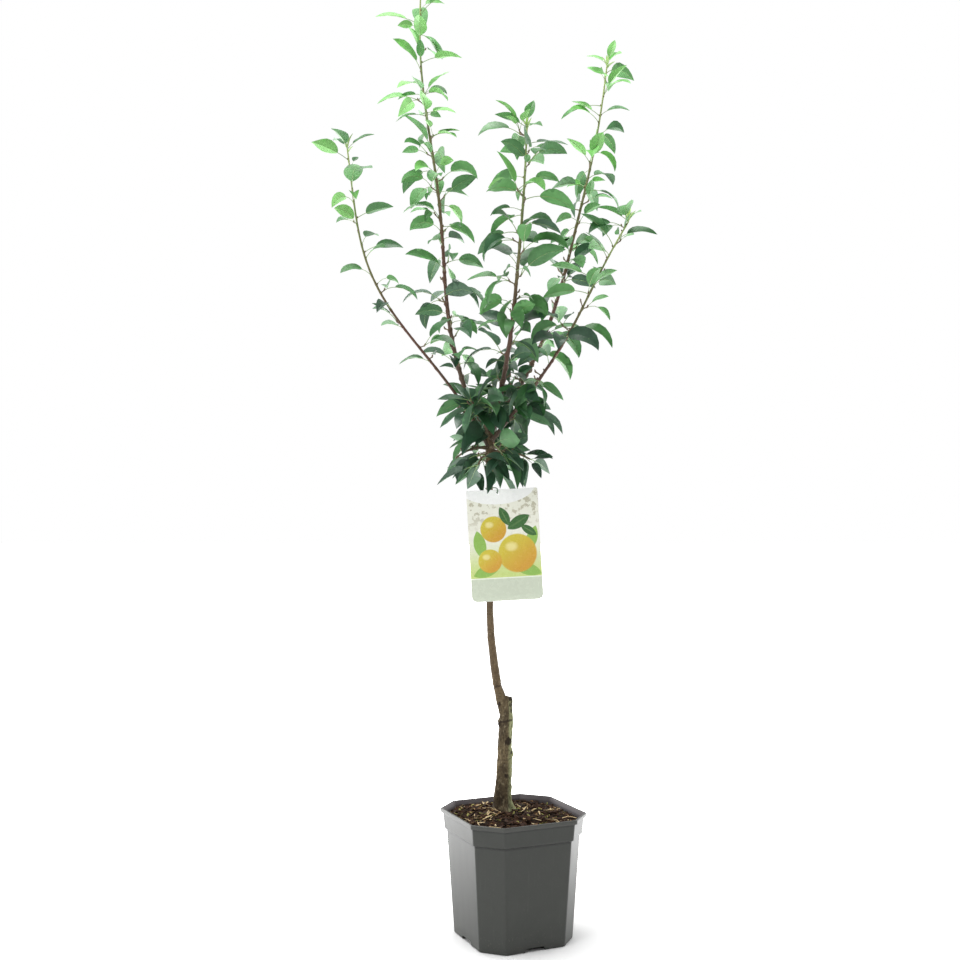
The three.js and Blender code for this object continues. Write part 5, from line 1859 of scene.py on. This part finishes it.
@dataclass
class Limbs:
    """The shoots and twigs with their bark, and the spurs and buds at their nodes.

    swell is how far a limb swells at a node and over what length, and collar is the same at its foot. The
    profiles of spurs and buds are shares of their length and radii.
    """

    crown: Crown
    step: float = 1.8
    sides: int = 14
    swell: Pair = (0.26, 2.6)
    collar: Pair = (1.5, 11)
    tip: float = 1.2
    spur_profile: tuple[Pair, ...] = (
        (0, 1.5), (0.2, 1.25), (0.4, 1.4), (0.6, 1.2), (0.8, 1.45), (0.95, 1.9), (1.1, 1.0),
    )
    bud_profile: tuple[Pair, ...] = ((0, 0.7), (0.25, 1.25), (0.5, 1.2), (0.75, 0.75), (1.0, 0.12))
    shoot_bark: Finish = ShootBark("young_bark")
    twig_bark: Finish = TwigBark("twig_bark")
    bud_scales: Finish = TwigBark("bud_scales", (0.10, 0.05, 0.035), (0.20, 0.13, 0.07))

    def limb(self, name: str, least: float) -> Shape:
        """One shoot or twig: its line's radius, swollen at each node and into a collar at its foot.

        A node's swelling is a bell along the limb, stronger on the side where its leaf sits. The bark is
        slightly lumpy.
        """
        line = LIMBS[name]
        length = float(np.linalg.norm(np.diff(line.at(np.linspace(0, 1, 60)), axis=0), axis=1).sum())
        share = np.linspace(0, 1, max(12, int(length / self.step)))
        path = line.at(share)
        along = share * length
        collar = self.collar[0] * np.exp(-((along / self.collar[1]) ** 2))
        radii = np.repeat((np.maximum(line.radius(share), least) + collar)[:, None], self.sides, axis=1)
        across = np.array([0, 1.0, 0.02])
        ways = unit(rings_about(path, radii, self.sides, across) - path[:, None])
        for node in self.crown.nodes_on(name):
            bell = np.exp(-(((along - node.share * length) / self.swell[1]) ** 2))[:, None]
            facing = 0.5 + 0.5 * (ways @ level_way(node.az))
            radii = radii + bell * facing * self.swell[0] * np.maximum(radii, 1.6) * (1.5 if node.tip else 1)
        radii = radii * (1 + 0.05 * rough(path[:, None] + ways * radii[..., None], 5, 2, 3))
        return tube(path, radii, self.sides, across, self.tip)

    def spurs(self) -> Shape:
        """Every spur: a short crooked tube, ringed, that thickens to a knob where its leaves sit."""
        nodes = [node for node in self.crown.nodes if node.tip]
        foot, tip = (np.array([getattr(node, key) for node in nodes])[:, None] for key in ("point", "tip"))
        shares, thickness = np.array(self.spur_profile).T
        t = shares[None, :, None]
        bend = np.array([[math.sin(i * 2.4), math.cos(i * 2.4), 0] for i in range(len(nodes))])[:, None]
        path = foot + (tip - foot) * t + bend * np.sin(t * math.pi) * 0.7
        size = np.array([[0.55 + 0.1 * min(node.radius, 4.5)] for node in nodes])
        return many_tubes(path, thickness * size, 8, np.array([0.1, 0.2, 1.0]))

    def buds(self) -> Shape:
        """A bud in each node's axil: a small pointed body that leans on the limb."""
        rows = []
        for node in self.crown.nodes:
            out = level_way(node.az)
            base = np.array(node.tip) if node.tip else np.array(node.point) + out * (node.radius * 0.8)
            rows.append((base + [0, 0, 0.6], out * 0.45 + [0, 0, 1.0], 4.2 if node.tip else 3.6))
        base, way, size = (np.array([row[k] for row in rows]) for k in range(3))
        shares, thickness = np.array(self.bud_profile).T
        path = base[:, None] + unit(way)[:, None] * size[:, None, None] * shares[None, :, None]
        return many_tubes(path, np.tile(thickness, (len(rows), 1)), 6, np.array([1.0, 0.1, 0]))

    def build(self) -> None:
        """Makes the shoots, twigs, spurs and buds."""
        for name in SHOOTS:
            shape = self.limb(name, 0.9)
            add_piece(f"shoot_{name}", shape, [self.shoot_bark], [f"bough_{name}"])
        twigs = Shape.joined([self.limb(name, 1.1) for name in TWIGS])
        add_piece("head_twigs", twigs, [self.twig_bark])
        add_piece("spurs", self.spurs(), [self.twig_bark], crease=60)
        add_piece("buds", self.buds(), [self.bud_scales])


class Tone(Enum):
    """The greens that are dealt out to sprays: upper side, under side and how rough the upper side is."""

    # From DEEP up to YOUNG the greens grow lighter, partly with the leaves' age, and partly as painted light:
    # the upper greens are lightened for the light that shines through the top leaves.
    DEEP = ((0.025, 0.074, 0.038), (0.052, 0.125, 0.066), 0.38)
    DARK = ((0.028, 0.102, 0.038), (0.068, 0.180, 0.074), 0.42)
    MIDDLE = ((0.034, 0.130, 0.036), (0.082, 0.228, 0.078), 0.44)
    FRESH = ((0.051, 0.186, 0.042), (0.104, 0.300, 0.086), 0.46)
    YOUNG = ((0.130, 0.395, 0.080), (0.190, 0.465, 0.125), 0.46)
    TIP = ((0.36, 0.56, 0.16), (0.42, 0.60, 0.22), 0.45)


@dataclass
class Foliage:
    """The leaves: closed thin blades with a fold, a wave and a twist, and stalks that run on as midribs.

    rows and columns are where a blade's points lie, and outline holds its powers. folding, rolled, twist,
    sweep and waves bound the leaves' strays. flattening is how much the fold flattens to the edges, and
    the waves turn by wave_turn along a blade and differ by wave_shift from edge to edge. mixing is how
    far, in millimetres, a spray's tone may lie from its height's, and tone_limits are the heights below
    which each tone is dealt. head_hang bounds how leaves on the head's twigs fall, bend and roll. kept is
    the share of sprays that a mass keeps, where not all.
    stalk_profile holds radii and depths under the midrib, at shares of the stalk and then of the blade.
    """

    crown: Crown
    rows: tuple[float, ...] = (0.03, 0.10, 0.21, 0.35, 0.51, 0.67, 0.82, 0.93)
    columns: tuple[float, ...] = (-1, -0.5, 0, 0.5, 1)
    thickness: float = 0.45
    outline: Pair = (0.66, 1.08)
    narrow: float = 0.9
    folding: Pair = (0.5, 1.9)
    rolled: float = 0.5
    twist: float = 0.45
    sweep: float = 0.16
    flattening: float = 0.35
    waves: Pair = (0.04, 0.13)
    wave_turn: float = 7.5
    wave_shift: float = 1.8
    mixing: float = 560
    # The tones lighten up the crown, partly with the leaves' age and partly as painted light through the top
    # leaves.
    tone_limits: tuple[tuple[float, Tone], ...] = (
        (860, Tone.DEEP), (990, Tone.DARK), (1130, Tone.MIDDLE), (1360, Tone.FRESH),
    )
    head_hang: tuple[Pair, Pair, Pair] = ((-36, 8), (0.35, 0.95), (-45, 45))
    kept: tuple[tuple[str, float], ...] = (
        ("skirt_left", 0.4), ("skirt_right", 0.35), ("skirt_back_right", 0.4), ("skirt_back_left", 0.6),
        ("heart_left", 0.25), ("heart_front", 0.65), ("heart_right", 0.5), ("right_centre_low", 0.5),
        ("right_outer_low", 0.55), ("tall_middle", 0.8), ("right_outer_top", 0.65), ("centre_low", 0.6),
        ("tall_low", 0.8), ("right_centre_middle", 0.8), ("right_centre_upper", 0.8),
    )
    stalk_profile: tuple[tuple[tuple[float, float, float], ...], ...] = (
        ((0, 0.95, 0), (0.35, 0.7, 0), (0.7, 0.66, 0)),
        ((0.02, 0.62, 0.3), (0.3, 0.48, 0.27), (0.6, 0.36, 0.22), (0.93, 0.16, 0.14)),
    )
    stalk: Finish = LeafSkin("leaf_stalk", (0.22, 0.34, 0.12), 0.1, 0.45)

    def tone(self, leaf: Leaf) -> Tone:
        """A leaf's tone, from its spray's height in the crown and a stray that the spray's number draws."""
        draw = Draws(leaf.spray * 7919 + 13).one()
        height = leaf.root[2] + stray(self.mixing, draw)
        for limit, tone in self.tone_limits:
            if height < limit:
                return tone
        return Tone.YOUNG

    def strays(self, leaves: Sequence[Leaf], kind: int, low: float, high: float) -> Array:
        """One stray for each leaf, between two bounds, as a column. It is drawn from the leaf's own place."""
        places = np.array([leaf.root for leaf in leaves])
        places = places + np.array([[leaf.az, leaf.length, 0] for leaf in leaves])
        share = np.sin(places @ np.array([12.9898, 78.233, 37.719]) + kind * 4.1) * 43758.5453
        return within((low, high), share - np.floor(share))[:, None]

    def hung(self, mass: str, leaves: Sequence[Leaf]) -> list[Leaf]:
        """A mass's leaves as they hang.

        Where the sky shows between them some sprays are left out, by a draw from the spray's number. On the
        head's short twigs they fall lower and bend and roll each in its own way.
        """
        kept = dict(self.kept).get(mass, 1)
        leaves = [leaf for leaf in leaves if Draws(leaf.spray * 31 + 7).one() < kept]
        if mass not in TWIGS:
            return leaves
        falls, bends, rolls = (
            self.strays(leaves, 6 + k, *span)[:, 0] for k, span in enumerate(self.head_hang)
        )
        return [
            replace(leaf, rise=leaf.rise + fall, arch=leaf.arch * bend, roll=leaf.roll + roll)
            for leaf, fall, bend, roll in zip(leaves, falls, bends, rolls)
        ]

    def lines(self, leaves: Sequence[Leaf], s: Array) -> tuple[Array, Array, Array]:
        """Point, side and upper normal along stalks and midribs at distances from the roots.

        Each leaf is rolled about its stalk by a stray, twists evenly along its blade, and sweeps to one
        side as the square of the share of its blade.
        """
        ribs = Midribs(leaves)
        bounds = (self.rolled, self.twist, self.sweep)
        rolled, twist, sweep = (self.strays(leaves, k, -most, most) for k, most in enumerate(bounds))
        share = np.maximum(s - ribs.petiole, 0) / ribs.length
        point, side, normal = ribs.frames(s, rolled * np.minimum(1, s / ribs.petiole) + twist * share)
        return point + side * (sweep * ribs.length * share**2)[..., None], side, normal

    def blades(self, leaves: Sequence[Leaf]) -> Shape:
        """Blades of many leaves.

        A blade is a grid over u, from base to tip, and v, from edge to edge. Its half width is a power of
        u times a power of 1 - u, its height over the midrib rises with the fold and flattens to the edges,
        and the edges wave as a sine of u. The under side lies a thickness below at the midrib and meets the
        upper side at the edges.
        """
        ribs = Midribs(leaves)
        count = len(leaves)
        spans = ((0, 6.28), self.waves, self.folding)
        phase, wave, folding = (self.strays(leaves, 3 + k, *span) for k, span in enumerate(spans))
        u = np.array([[0, *self.rows, 1]])
        point, side, normal = self.lines(leaves, ribs.blade(u))
        v = np.array(self.columns)
        half = (ribs.width / 2 * self.narrow * half_width(u, self.outline))[..., None]
        fold = (ribs.fold * folding)[..., None]
        rise = np.sin(fold) * ((1 + self.flattening) * np.abs(v) - self.flattening * v**2)
        along = self.wave_turn * u[..., None] + phase[..., None] + self.wave_shift * np.sign(v)
        ripple = wave[..., None] * np.sin(along) * v**2
        over = half * (rise + ripple)
        aside = half * v * np.cos(fold)
        top = point[:, :, None] + side[:, :, None] * aside[..., None] + normal[:, :, None] * over[..., None]
        midrib = top[:, :, len(v) // 2]
        under = midrib[:, 1:-1] - normal[:, 1:-1] * self.thickness
        blade = [top[:, 1:-1].reshape(count, -1, 3), under, midrib[:, :1], midrib[:, -1:]]
        points = np.concatenate(blade, axis=1)
        parts, slots = self.blade_faces()
        shape = alike(points, parts)
        shape.slots = [np.tile(of_one, count) for of_one in slots]
        return shape

    def blade_faces(self) -> tuple[list[Array], list[Array]]:
        """One blade's quads and end triangles, and the slot of each: 0 on the upper side, 1 on the lower.

        The points are the upper side's, row by row, the lower side's midrib, the base and the tip.
        """
        rows, across = len(self.rows), len(self.columns)
        upper = np.arange(rows * across).reshape(rows, across)
        lower = np.stack([upper[:, 0], rows * across + np.arange(rows), upper[:, -1]], axis=1)
        base, tip = rows * (across + 1), rows * (across + 1) + 1
        quads, fans = [], []
        for way, grid in ((1, upper), (-1, lower)):
            quad = np.stack([grid[:-1, :-1], grid[1:, :-1], grid[1:, 1:], grid[:-1, 1:]], -1).reshape(-1, 4)
            first = np.stack([0 * grid[0, 1:] + base, grid[0, :-1], grid[0, 1:]], -1)
            last = np.stack([grid[-1, :-1], 0 * grid[0, 1:] + tip, grid[-1, 1:]], -1)
            quads.append(quad[:, ::way])
            fans.append(np.concatenate([first, last])[:, ::way])
        sides = (quads, fans)
        slots = [np.repeat([0, 1], [len(part) for part in parts]) for parts in sides]
        return [np.concatenate(parts) for parts in sides], slots

    def stalks(self, leaves: Sequence[Leaf]) -> Shape:
        """Stalks of many leaves: three-sided tubes that run on along the blades and thin to their tips."""
        ribs = Midribs(leaves)
        on_stalk, on_blade = ([row[0] for row in part] for part in self.stalk_profile)
        _, thick, deep = np.array(sum(self.stalk_profile, ())).T[:, None]
        s = np.concatenate([ribs.petiole * np.array([on_stalk]), ribs.blade([on_blade])], axis=1)
        point, side, normal = self.lines(leaves, s)
        radii = thick * np.sqrt(ribs.length / 55)
        corners = [
            (side * math.cos(a) + normal * math.sin(a)) * radii[..., None] for a in np.radians((30, 150, 270))
        ]
        rings = (point - deep[..., None] * normal)[:, :, None] + np.stack(corners, 2)
        tubes, count, sides, _ = rings.shape
        end = (count - 1) * sides
        caps = np.array([[0, 2, 1], [end, end + 1, end + 2]])
        return alike(rings.reshape(tubes, -1, 3), (grid_faces(count, sides), caps))

    def furled(self) -> list[Leaf]:
        """Narrow young leaves that stand furled at each shoot's tip."""
        leaves = []
        for number, shoot in enumerate(SHOOTS.values()):
            draws = Draws(900 + number)
            for k in range(4):
                u = draws.some(3)
                length = 14 + 12 * u[0]
                leaf = Leaf(
                    root=tuple(shoot.at(1.0 - 0.004 * k)),
                    length=length,
                    width=length * 0.3,
                    petiole=3,
                    az=120 * k + 90 * u[1],
                    rise=84 - 9 * k,
                    arch=24,
                    roll=0,
                    fold=34,
                )
                leaves.append(leaf)
        return leaves

    def build(self) -> None:
        """Makes one piece of blades for each tone, and one of stalks."""
        dealt: dict[Tone, list[Leaf]] = {tone: [] for tone in Tone}
        nodes: dict[Tone, set[str]] = {tone: set() for tone in Tone}
        for mass, growth in self.crown.grown.items():
            for leaf in self.hung(mass, growth.leaves):
                tone = self.tone(leaf)
                dealt[tone].append(leaf)
                nodes[tone].add(f"leaves_{mass}")
        dealt[Tone.TIP] = self.furled()
        for tone, leaves in dealt.items():
            upper, under, dull = tone.value
            name = tone.name.lower()
            skins = [
                LeafSkin(f"leaf_{name}", upper, 0.2, dull),
                LeafSkin(f"leaf_{name}_under", under, 0.12, 0.58),
            ]
            piece = f"leaves_of_{name}_green"
            add_piece(piece, self.blades(leaves), skins, sorted(nodes[tone]), crease=38)
        everything = [leaf for leaves in dealt.values() for leaf in leaves]
        add_piece("leaf_stalks", self.stalks(everything), [self.stalk], crease=70)
        LOG.info("%d leaves", len(everything))


@dataclass
class Card:
    """The picture card: a thin plate with rounded corners, a hanging hole and a slight bow.

    radii are those of the top and bottom corners, lean is in degrees, and hole holds its x, its drop from
    the top edge and its radius. bows are how far the plate bows across and upwards, over bow_over.
    """

    size: Pair = (115.5, 180)
    thickness: float = 0.8
    radii: Pair = (3, 9)
    middle: Point = (-12.6, 5, 621.5)
    lean: float = -3.2
    hole: tuple[float, float, float] = (-7, 6.5, 2.6)
    bows: Pair = (-1.4, 0.84)
    bow_over: Pair = (57, 90)
    steps: int = 26
    printed: Finish = CardPrint("card_print")
    paper: Finish = CardPaper("card_paper")

    def outline(self) -> Array:
        """Points of the plate's edge in its own plane, anticlockwise: four arcs with sides between."""
        x, z = self.size[0] / 2, self.size[1] / 2
        top, bottom = self.radii
        corners = ((x, -z, bottom, -90), (x, z, top, 0), (-x, z, top, 90), (-x, -z, bottom, 180))
        arcs = []
        for cx, cz, radius, first in corners:
            angle = np.radians(first + np.linspace(0, 90, 9))
            middle = np.array([cx - math.copysign(radius, cx), cz - math.copysign(radius, cz)])
            arcs.append(middle + radius * on_circle(angle))
        sides = []
        for arc, following in zip(arcs, arcs[1:] + arcs[:1]):
            share = np.linspace(0, 1, 32, endpoint=False)[1:, None]
            sides += [arc, arc[-1] + (following[0] - arc[-1]) * share]
        return np.concatenate(sides)

    def hung(self, x: Array, y: Array, z: Array) -> Array:
        """Points of the flat plate, bowed as the square of x and z, leaned about Y and moved to its place."""
        across, upwards = (bow * (v / over) ** 2 for v, bow, over in zip((x, z), self.bows, self.bow_over))
        bowed = y + across + upwards
        leaned, level = turned(x, z, -self.lean)
        return np.stack([leaned, bowed, level], -1) + np.array(self.middle)

    def eye(self) -> Array:
        """The middle of the hole."""
        x, drop, _ = self.hole
        return self.hung(np.array(x), np.array(-self.thickness / 2), np.array(self.size[1] / 2 - drop))

    def shape(self) -> Shape:
        """The plate as one closed surface: rings from the hole out over the front, and back behind.

        Each ring goes evenly from the hole's circle to the edge, and the edge is slightly rounded.
        """
        edge = self.outline()
        x, drop, radius = self.hole
        eye = np.array([x, self.size[1] / 2 - drop])
        circle = eye + radius * unit(edge - eye)
        share = np.linspace(0, 1, self.steps) ** 1.3
        near = 1 - 0.3 / np.linalg.norm(edge - circle, axis=-1, keepdims=True)
        front = circle + (edge - circle) * share[:, None, None] * near
        flat = np.concatenate([front, edge[None], edge[None], front[::-1]])
        t = self.thickness
        y = np.concatenate([np.full(self.steps, -t), [-t * 0.7, -t * 0.3], np.full(self.steps, 0)])
        points = self.hung(flat[..., 0], y[:, None] + 0 * flat[..., 0], flat[..., 1])
        rows, columns = flat.shape[:2]
        faces = grid_faces(rows, columns, close=True)[:, ::-1]
        slots = (np.arange(len(faces)) // columns >= self.steps - 1).astype(int)
        uv = flat.reshape(-1, 2) / np.array(self.size) + 0.5
        return Shape(points.reshape(-1, 3), [faces], [slots], uv)

    def build(self) -> None:
        """Makes the card."""
        finishes = [self.printed, self.paper]
        add_piece("hanging_card", self.shape(), finishes, ["picture_card"], crease=40)


@dataclass
class Tie:
    """The card's tie: a thin closed loop through the hole, over the card's top edge and round the stem."""

    card: Card
    radius: float = 0.8
    stem: Pair = (-37, TRUNK_Y)
    reach: float = 6.8
    bends: tuple[float, ...] = (-95, -140, 180, 140, 95, 55, 15)
    fall: float = 4.4
    front: Point = (-0.3, -2.6, 3.2)
    over: Point = (-1.2, -0.6, 0.9)
    back: Point = (0, 3.4, 0.5)
    sides: int = 8
    steps: int = 22
    cord: Finish = TieCord("tie_cord")

    def stations(self) -> Array:
        """The points that the loop passes."""
        eye = self.card.eye()
        top = eye[2] + self.card.hole[1] + 0.3 + self.radius
        share = np.linspace(0, 1, len(self.bends))
        around = np.array(self.stem) + self.reach * on_circle(np.radians(self.bends))
        stem = np.concatenate([around, (top + 1.4 - self.fall * share**2)[:, None]], axis=1)
        above = np.array([eye[0], eye[1], top]) + self.over
        return np.concatenate([[eye, eye + self.front, above], stem, [eye + self.back]])

    def path(self) -> Array:
        """The loop: a closed centripetal Catmull-Rom curve through the stations.

        Between two stations it blends lines through neighbours, then the blends, three times over. The
        knots lie apart by the square roots of the stations' distances.
        """
        stations = self.stations()
        points = [np.roll(stations, 1 - k, axis=0)[:, None] for k in range(4)]
        spans = [np.linalg.norm(b - a, axis=-1, keepdims=True) ** 0.5 for a, b in zip(points, points[1:])]
        knots = [0 * spans[0], spans[0], spans[0] + spans[1], spans[0] + spans[1] + spans[2]]
        t = knots[1] + spans[1] * np.linspace(0, 1, self.steps, endpoint=False)[None, :, None]
        for level in (((0, 1), (1, 2), (2, 3)), ((0, 2), (1, 3)), ((1, 2),)):
            points = [
                (a * (knots[j] - t) + b * (t - knots[i])) / (knots[j] - knots[i])
                for a, b, (i, j) in zip(points, points[1:], level)
            ]
        return points[0].reshape(-1, 3)

    def shape(self) -> Shape:
        """A round tube along the loop, whose last ring joins the first."""
        path = self.path()
        longer = np.concatenate([path[-2:], path, path[:2]])
        radii = np.full(len(longer), self.radius)
        points = rings_about(longer, radii, self.sides, longer - path.mean(0))[2:-2]
        faces = grid_faces(len(path), self.sides, close=True)
        return Shape(points.reshape(-1, 3), [faces], None, surface_map(len(path), self.sides))

    def build(self) -> None:
        """Makes the tie."""
        add_piece("card_loop", self.shape(), [self.cord], ["card_tie"])


@dataclass(frozen=True)
class Lamp:
    """A square area light: its name, place and aim in metres, its side in metres and its power in watts."""

    name: str
    place: Point
    aim: Point
    size: float
    power: float


@dataclass
class Studio:
    """A white floor, soft light from all round, and the photo's camera.

    world holds the strengths of the light from in front and from behind, and world_turn the span of y
    over which the one goes over into the other.
    """

    floor_half: float = 30
    floor_finish: Finish = StudioFloor("studio_floor")
    eye: Point = (-0.0526, -1.937, 0.663)
    tilt: float = 91.87
    lens: float = 45
    sensor: float = 36
    world: Pair = (0.30, 1.0)
    world_turn: Pair = (-0.75, 0.15)
    lamps: tuple[Lamp, ...] = (
        Lamp("back_left", (-1.7, 2.3, 0.7), (0, 0, 0.45), 1.5, 46),
        Lamp("back_right", (2.6, 2.2, 0.9), (0, 0, 0.5), 1.7, 36),
        Lamp("above", (-0.4, -0.3, 3.6), (0, 0, 0.9), 1.7, 80),
        Lamp("front_left", (-1.9, -2.4, 1.7), (0, 0, 0.9), 1.3, 25),
    )

    def floor(self) -> Shape:
        """The flat floor, a square grid about the origin."""
        across = np.linspace(-self.floor_half, self.floor_half, 13) / MM
        x, y = np.meshgrid(across, across)
        points = np.stack([x, y, 0 * x], -1)
        return Shape(points.reshape(-1, 3), [grid_faces(13, 13, wrap=False)[:, ::-1]])

    def light(self) -> None:
        """Adds the area lights, each turned to face its aim."""
        for lamp in self.lamps:
            data = bpy.data.lights.new(lamp.name, "AREA")
            data.energy, data.size = lamp.power, lamp.size
            light = put_in(lamp.name, data)
            light.location = lamp.place
            light.rotation_euler = (Vector(lamp.aim) - Vector(lamp.place)).to_track_quat("-Z", "Y").to_euler()

    def surround(self) -> None:
        """Lights the plant from behind more than from in front, and lets the camera see white all round."""
        world = bpy.data.worlds.new("studio")
        world.use_nodes = True
        nodes = Nodes(world.node_tree)
        behind = nodes.axes(nodes.node("ShaderNodeTexCoord", output="Generated"))[1]
        spans = zip(("From Min", "From Max", "To Min", "To Max"), self.world_turn + self.world)
        strength = nodes.node("ShaderNodeMapRange", inputs={"Value": behind, **dict(spans)})
        seen = nodes.node("ShaderNodeLightPath", output="Is Camera Ray")
        ground = world.node_tree.nodes["Background"].inputs
        ground["Color"].default_value = (1, 1, 1, 1)
        world.node_tree.links.new(strength.larger(seen).output, ground["Strength"])
        bpy.context.scene.world = world

    def camera(self) -> None:
        """Adds the camera where the photo's stood."""
        data = bpy.data.cameras.new("camera")
        data.lens, data.sensor_width = self.lens, self.sensor
        seen = put_in("camera", data)
        seen.location = self.eye
        seen.rotation_euler = (math.radians(self.tilt), 0, 0)
        bpy.context.scene.camera = seen

    def build(self) -> None:
        """Makes the floor, the lights and the camera, and shows colours as they are."""
        piece = make_piece("studio_floor", self.floor(), [self.floor_finish])
        self.light()
        self.surround()
        self.camera()
        bpy.context.scene.view_settings.view_transform = "Standard"


def grow_crown() -> Crown:
    """Grows the crown by the source's rule, then finer twigs in the room that is left, then more leaves."""
    crown = Crown()
    finer = Round(Room().scaled(0.6), 5000, (7, 9), (13, 13), finer_habit)
    head = Round(Room(share=70).scaled(0.3), 0, (6, 14), (9, 12))
    rounds = (("coarse", Round(), MASSES), ("finer", finer, MASSES), ("head", head, HEAD_MASSES))
    for name, turn, masses in rounds:
        for mass in masses:
            crown.grow(mass, turn)
        LOG.info("%s round: %d leaves so far", name, sum(len(g.leaves) for g in crown.grown.values()))
    return crown


def main() -> None:
    """Builds the plant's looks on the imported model."""
    logging.basicConfig(level=logging.INFO, format="%(message)s")
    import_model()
    pot = Pot()
    pot.build()
    Soil(pot).build()
    Trunk().build()
    crown = grow_crown()
    Limbs(crown).build()
    Foliage(crown).build()
    card = Card()
    card.build()
    Tie(card).build()
    Studio().build()


if __name__ == "__main__":
    main()
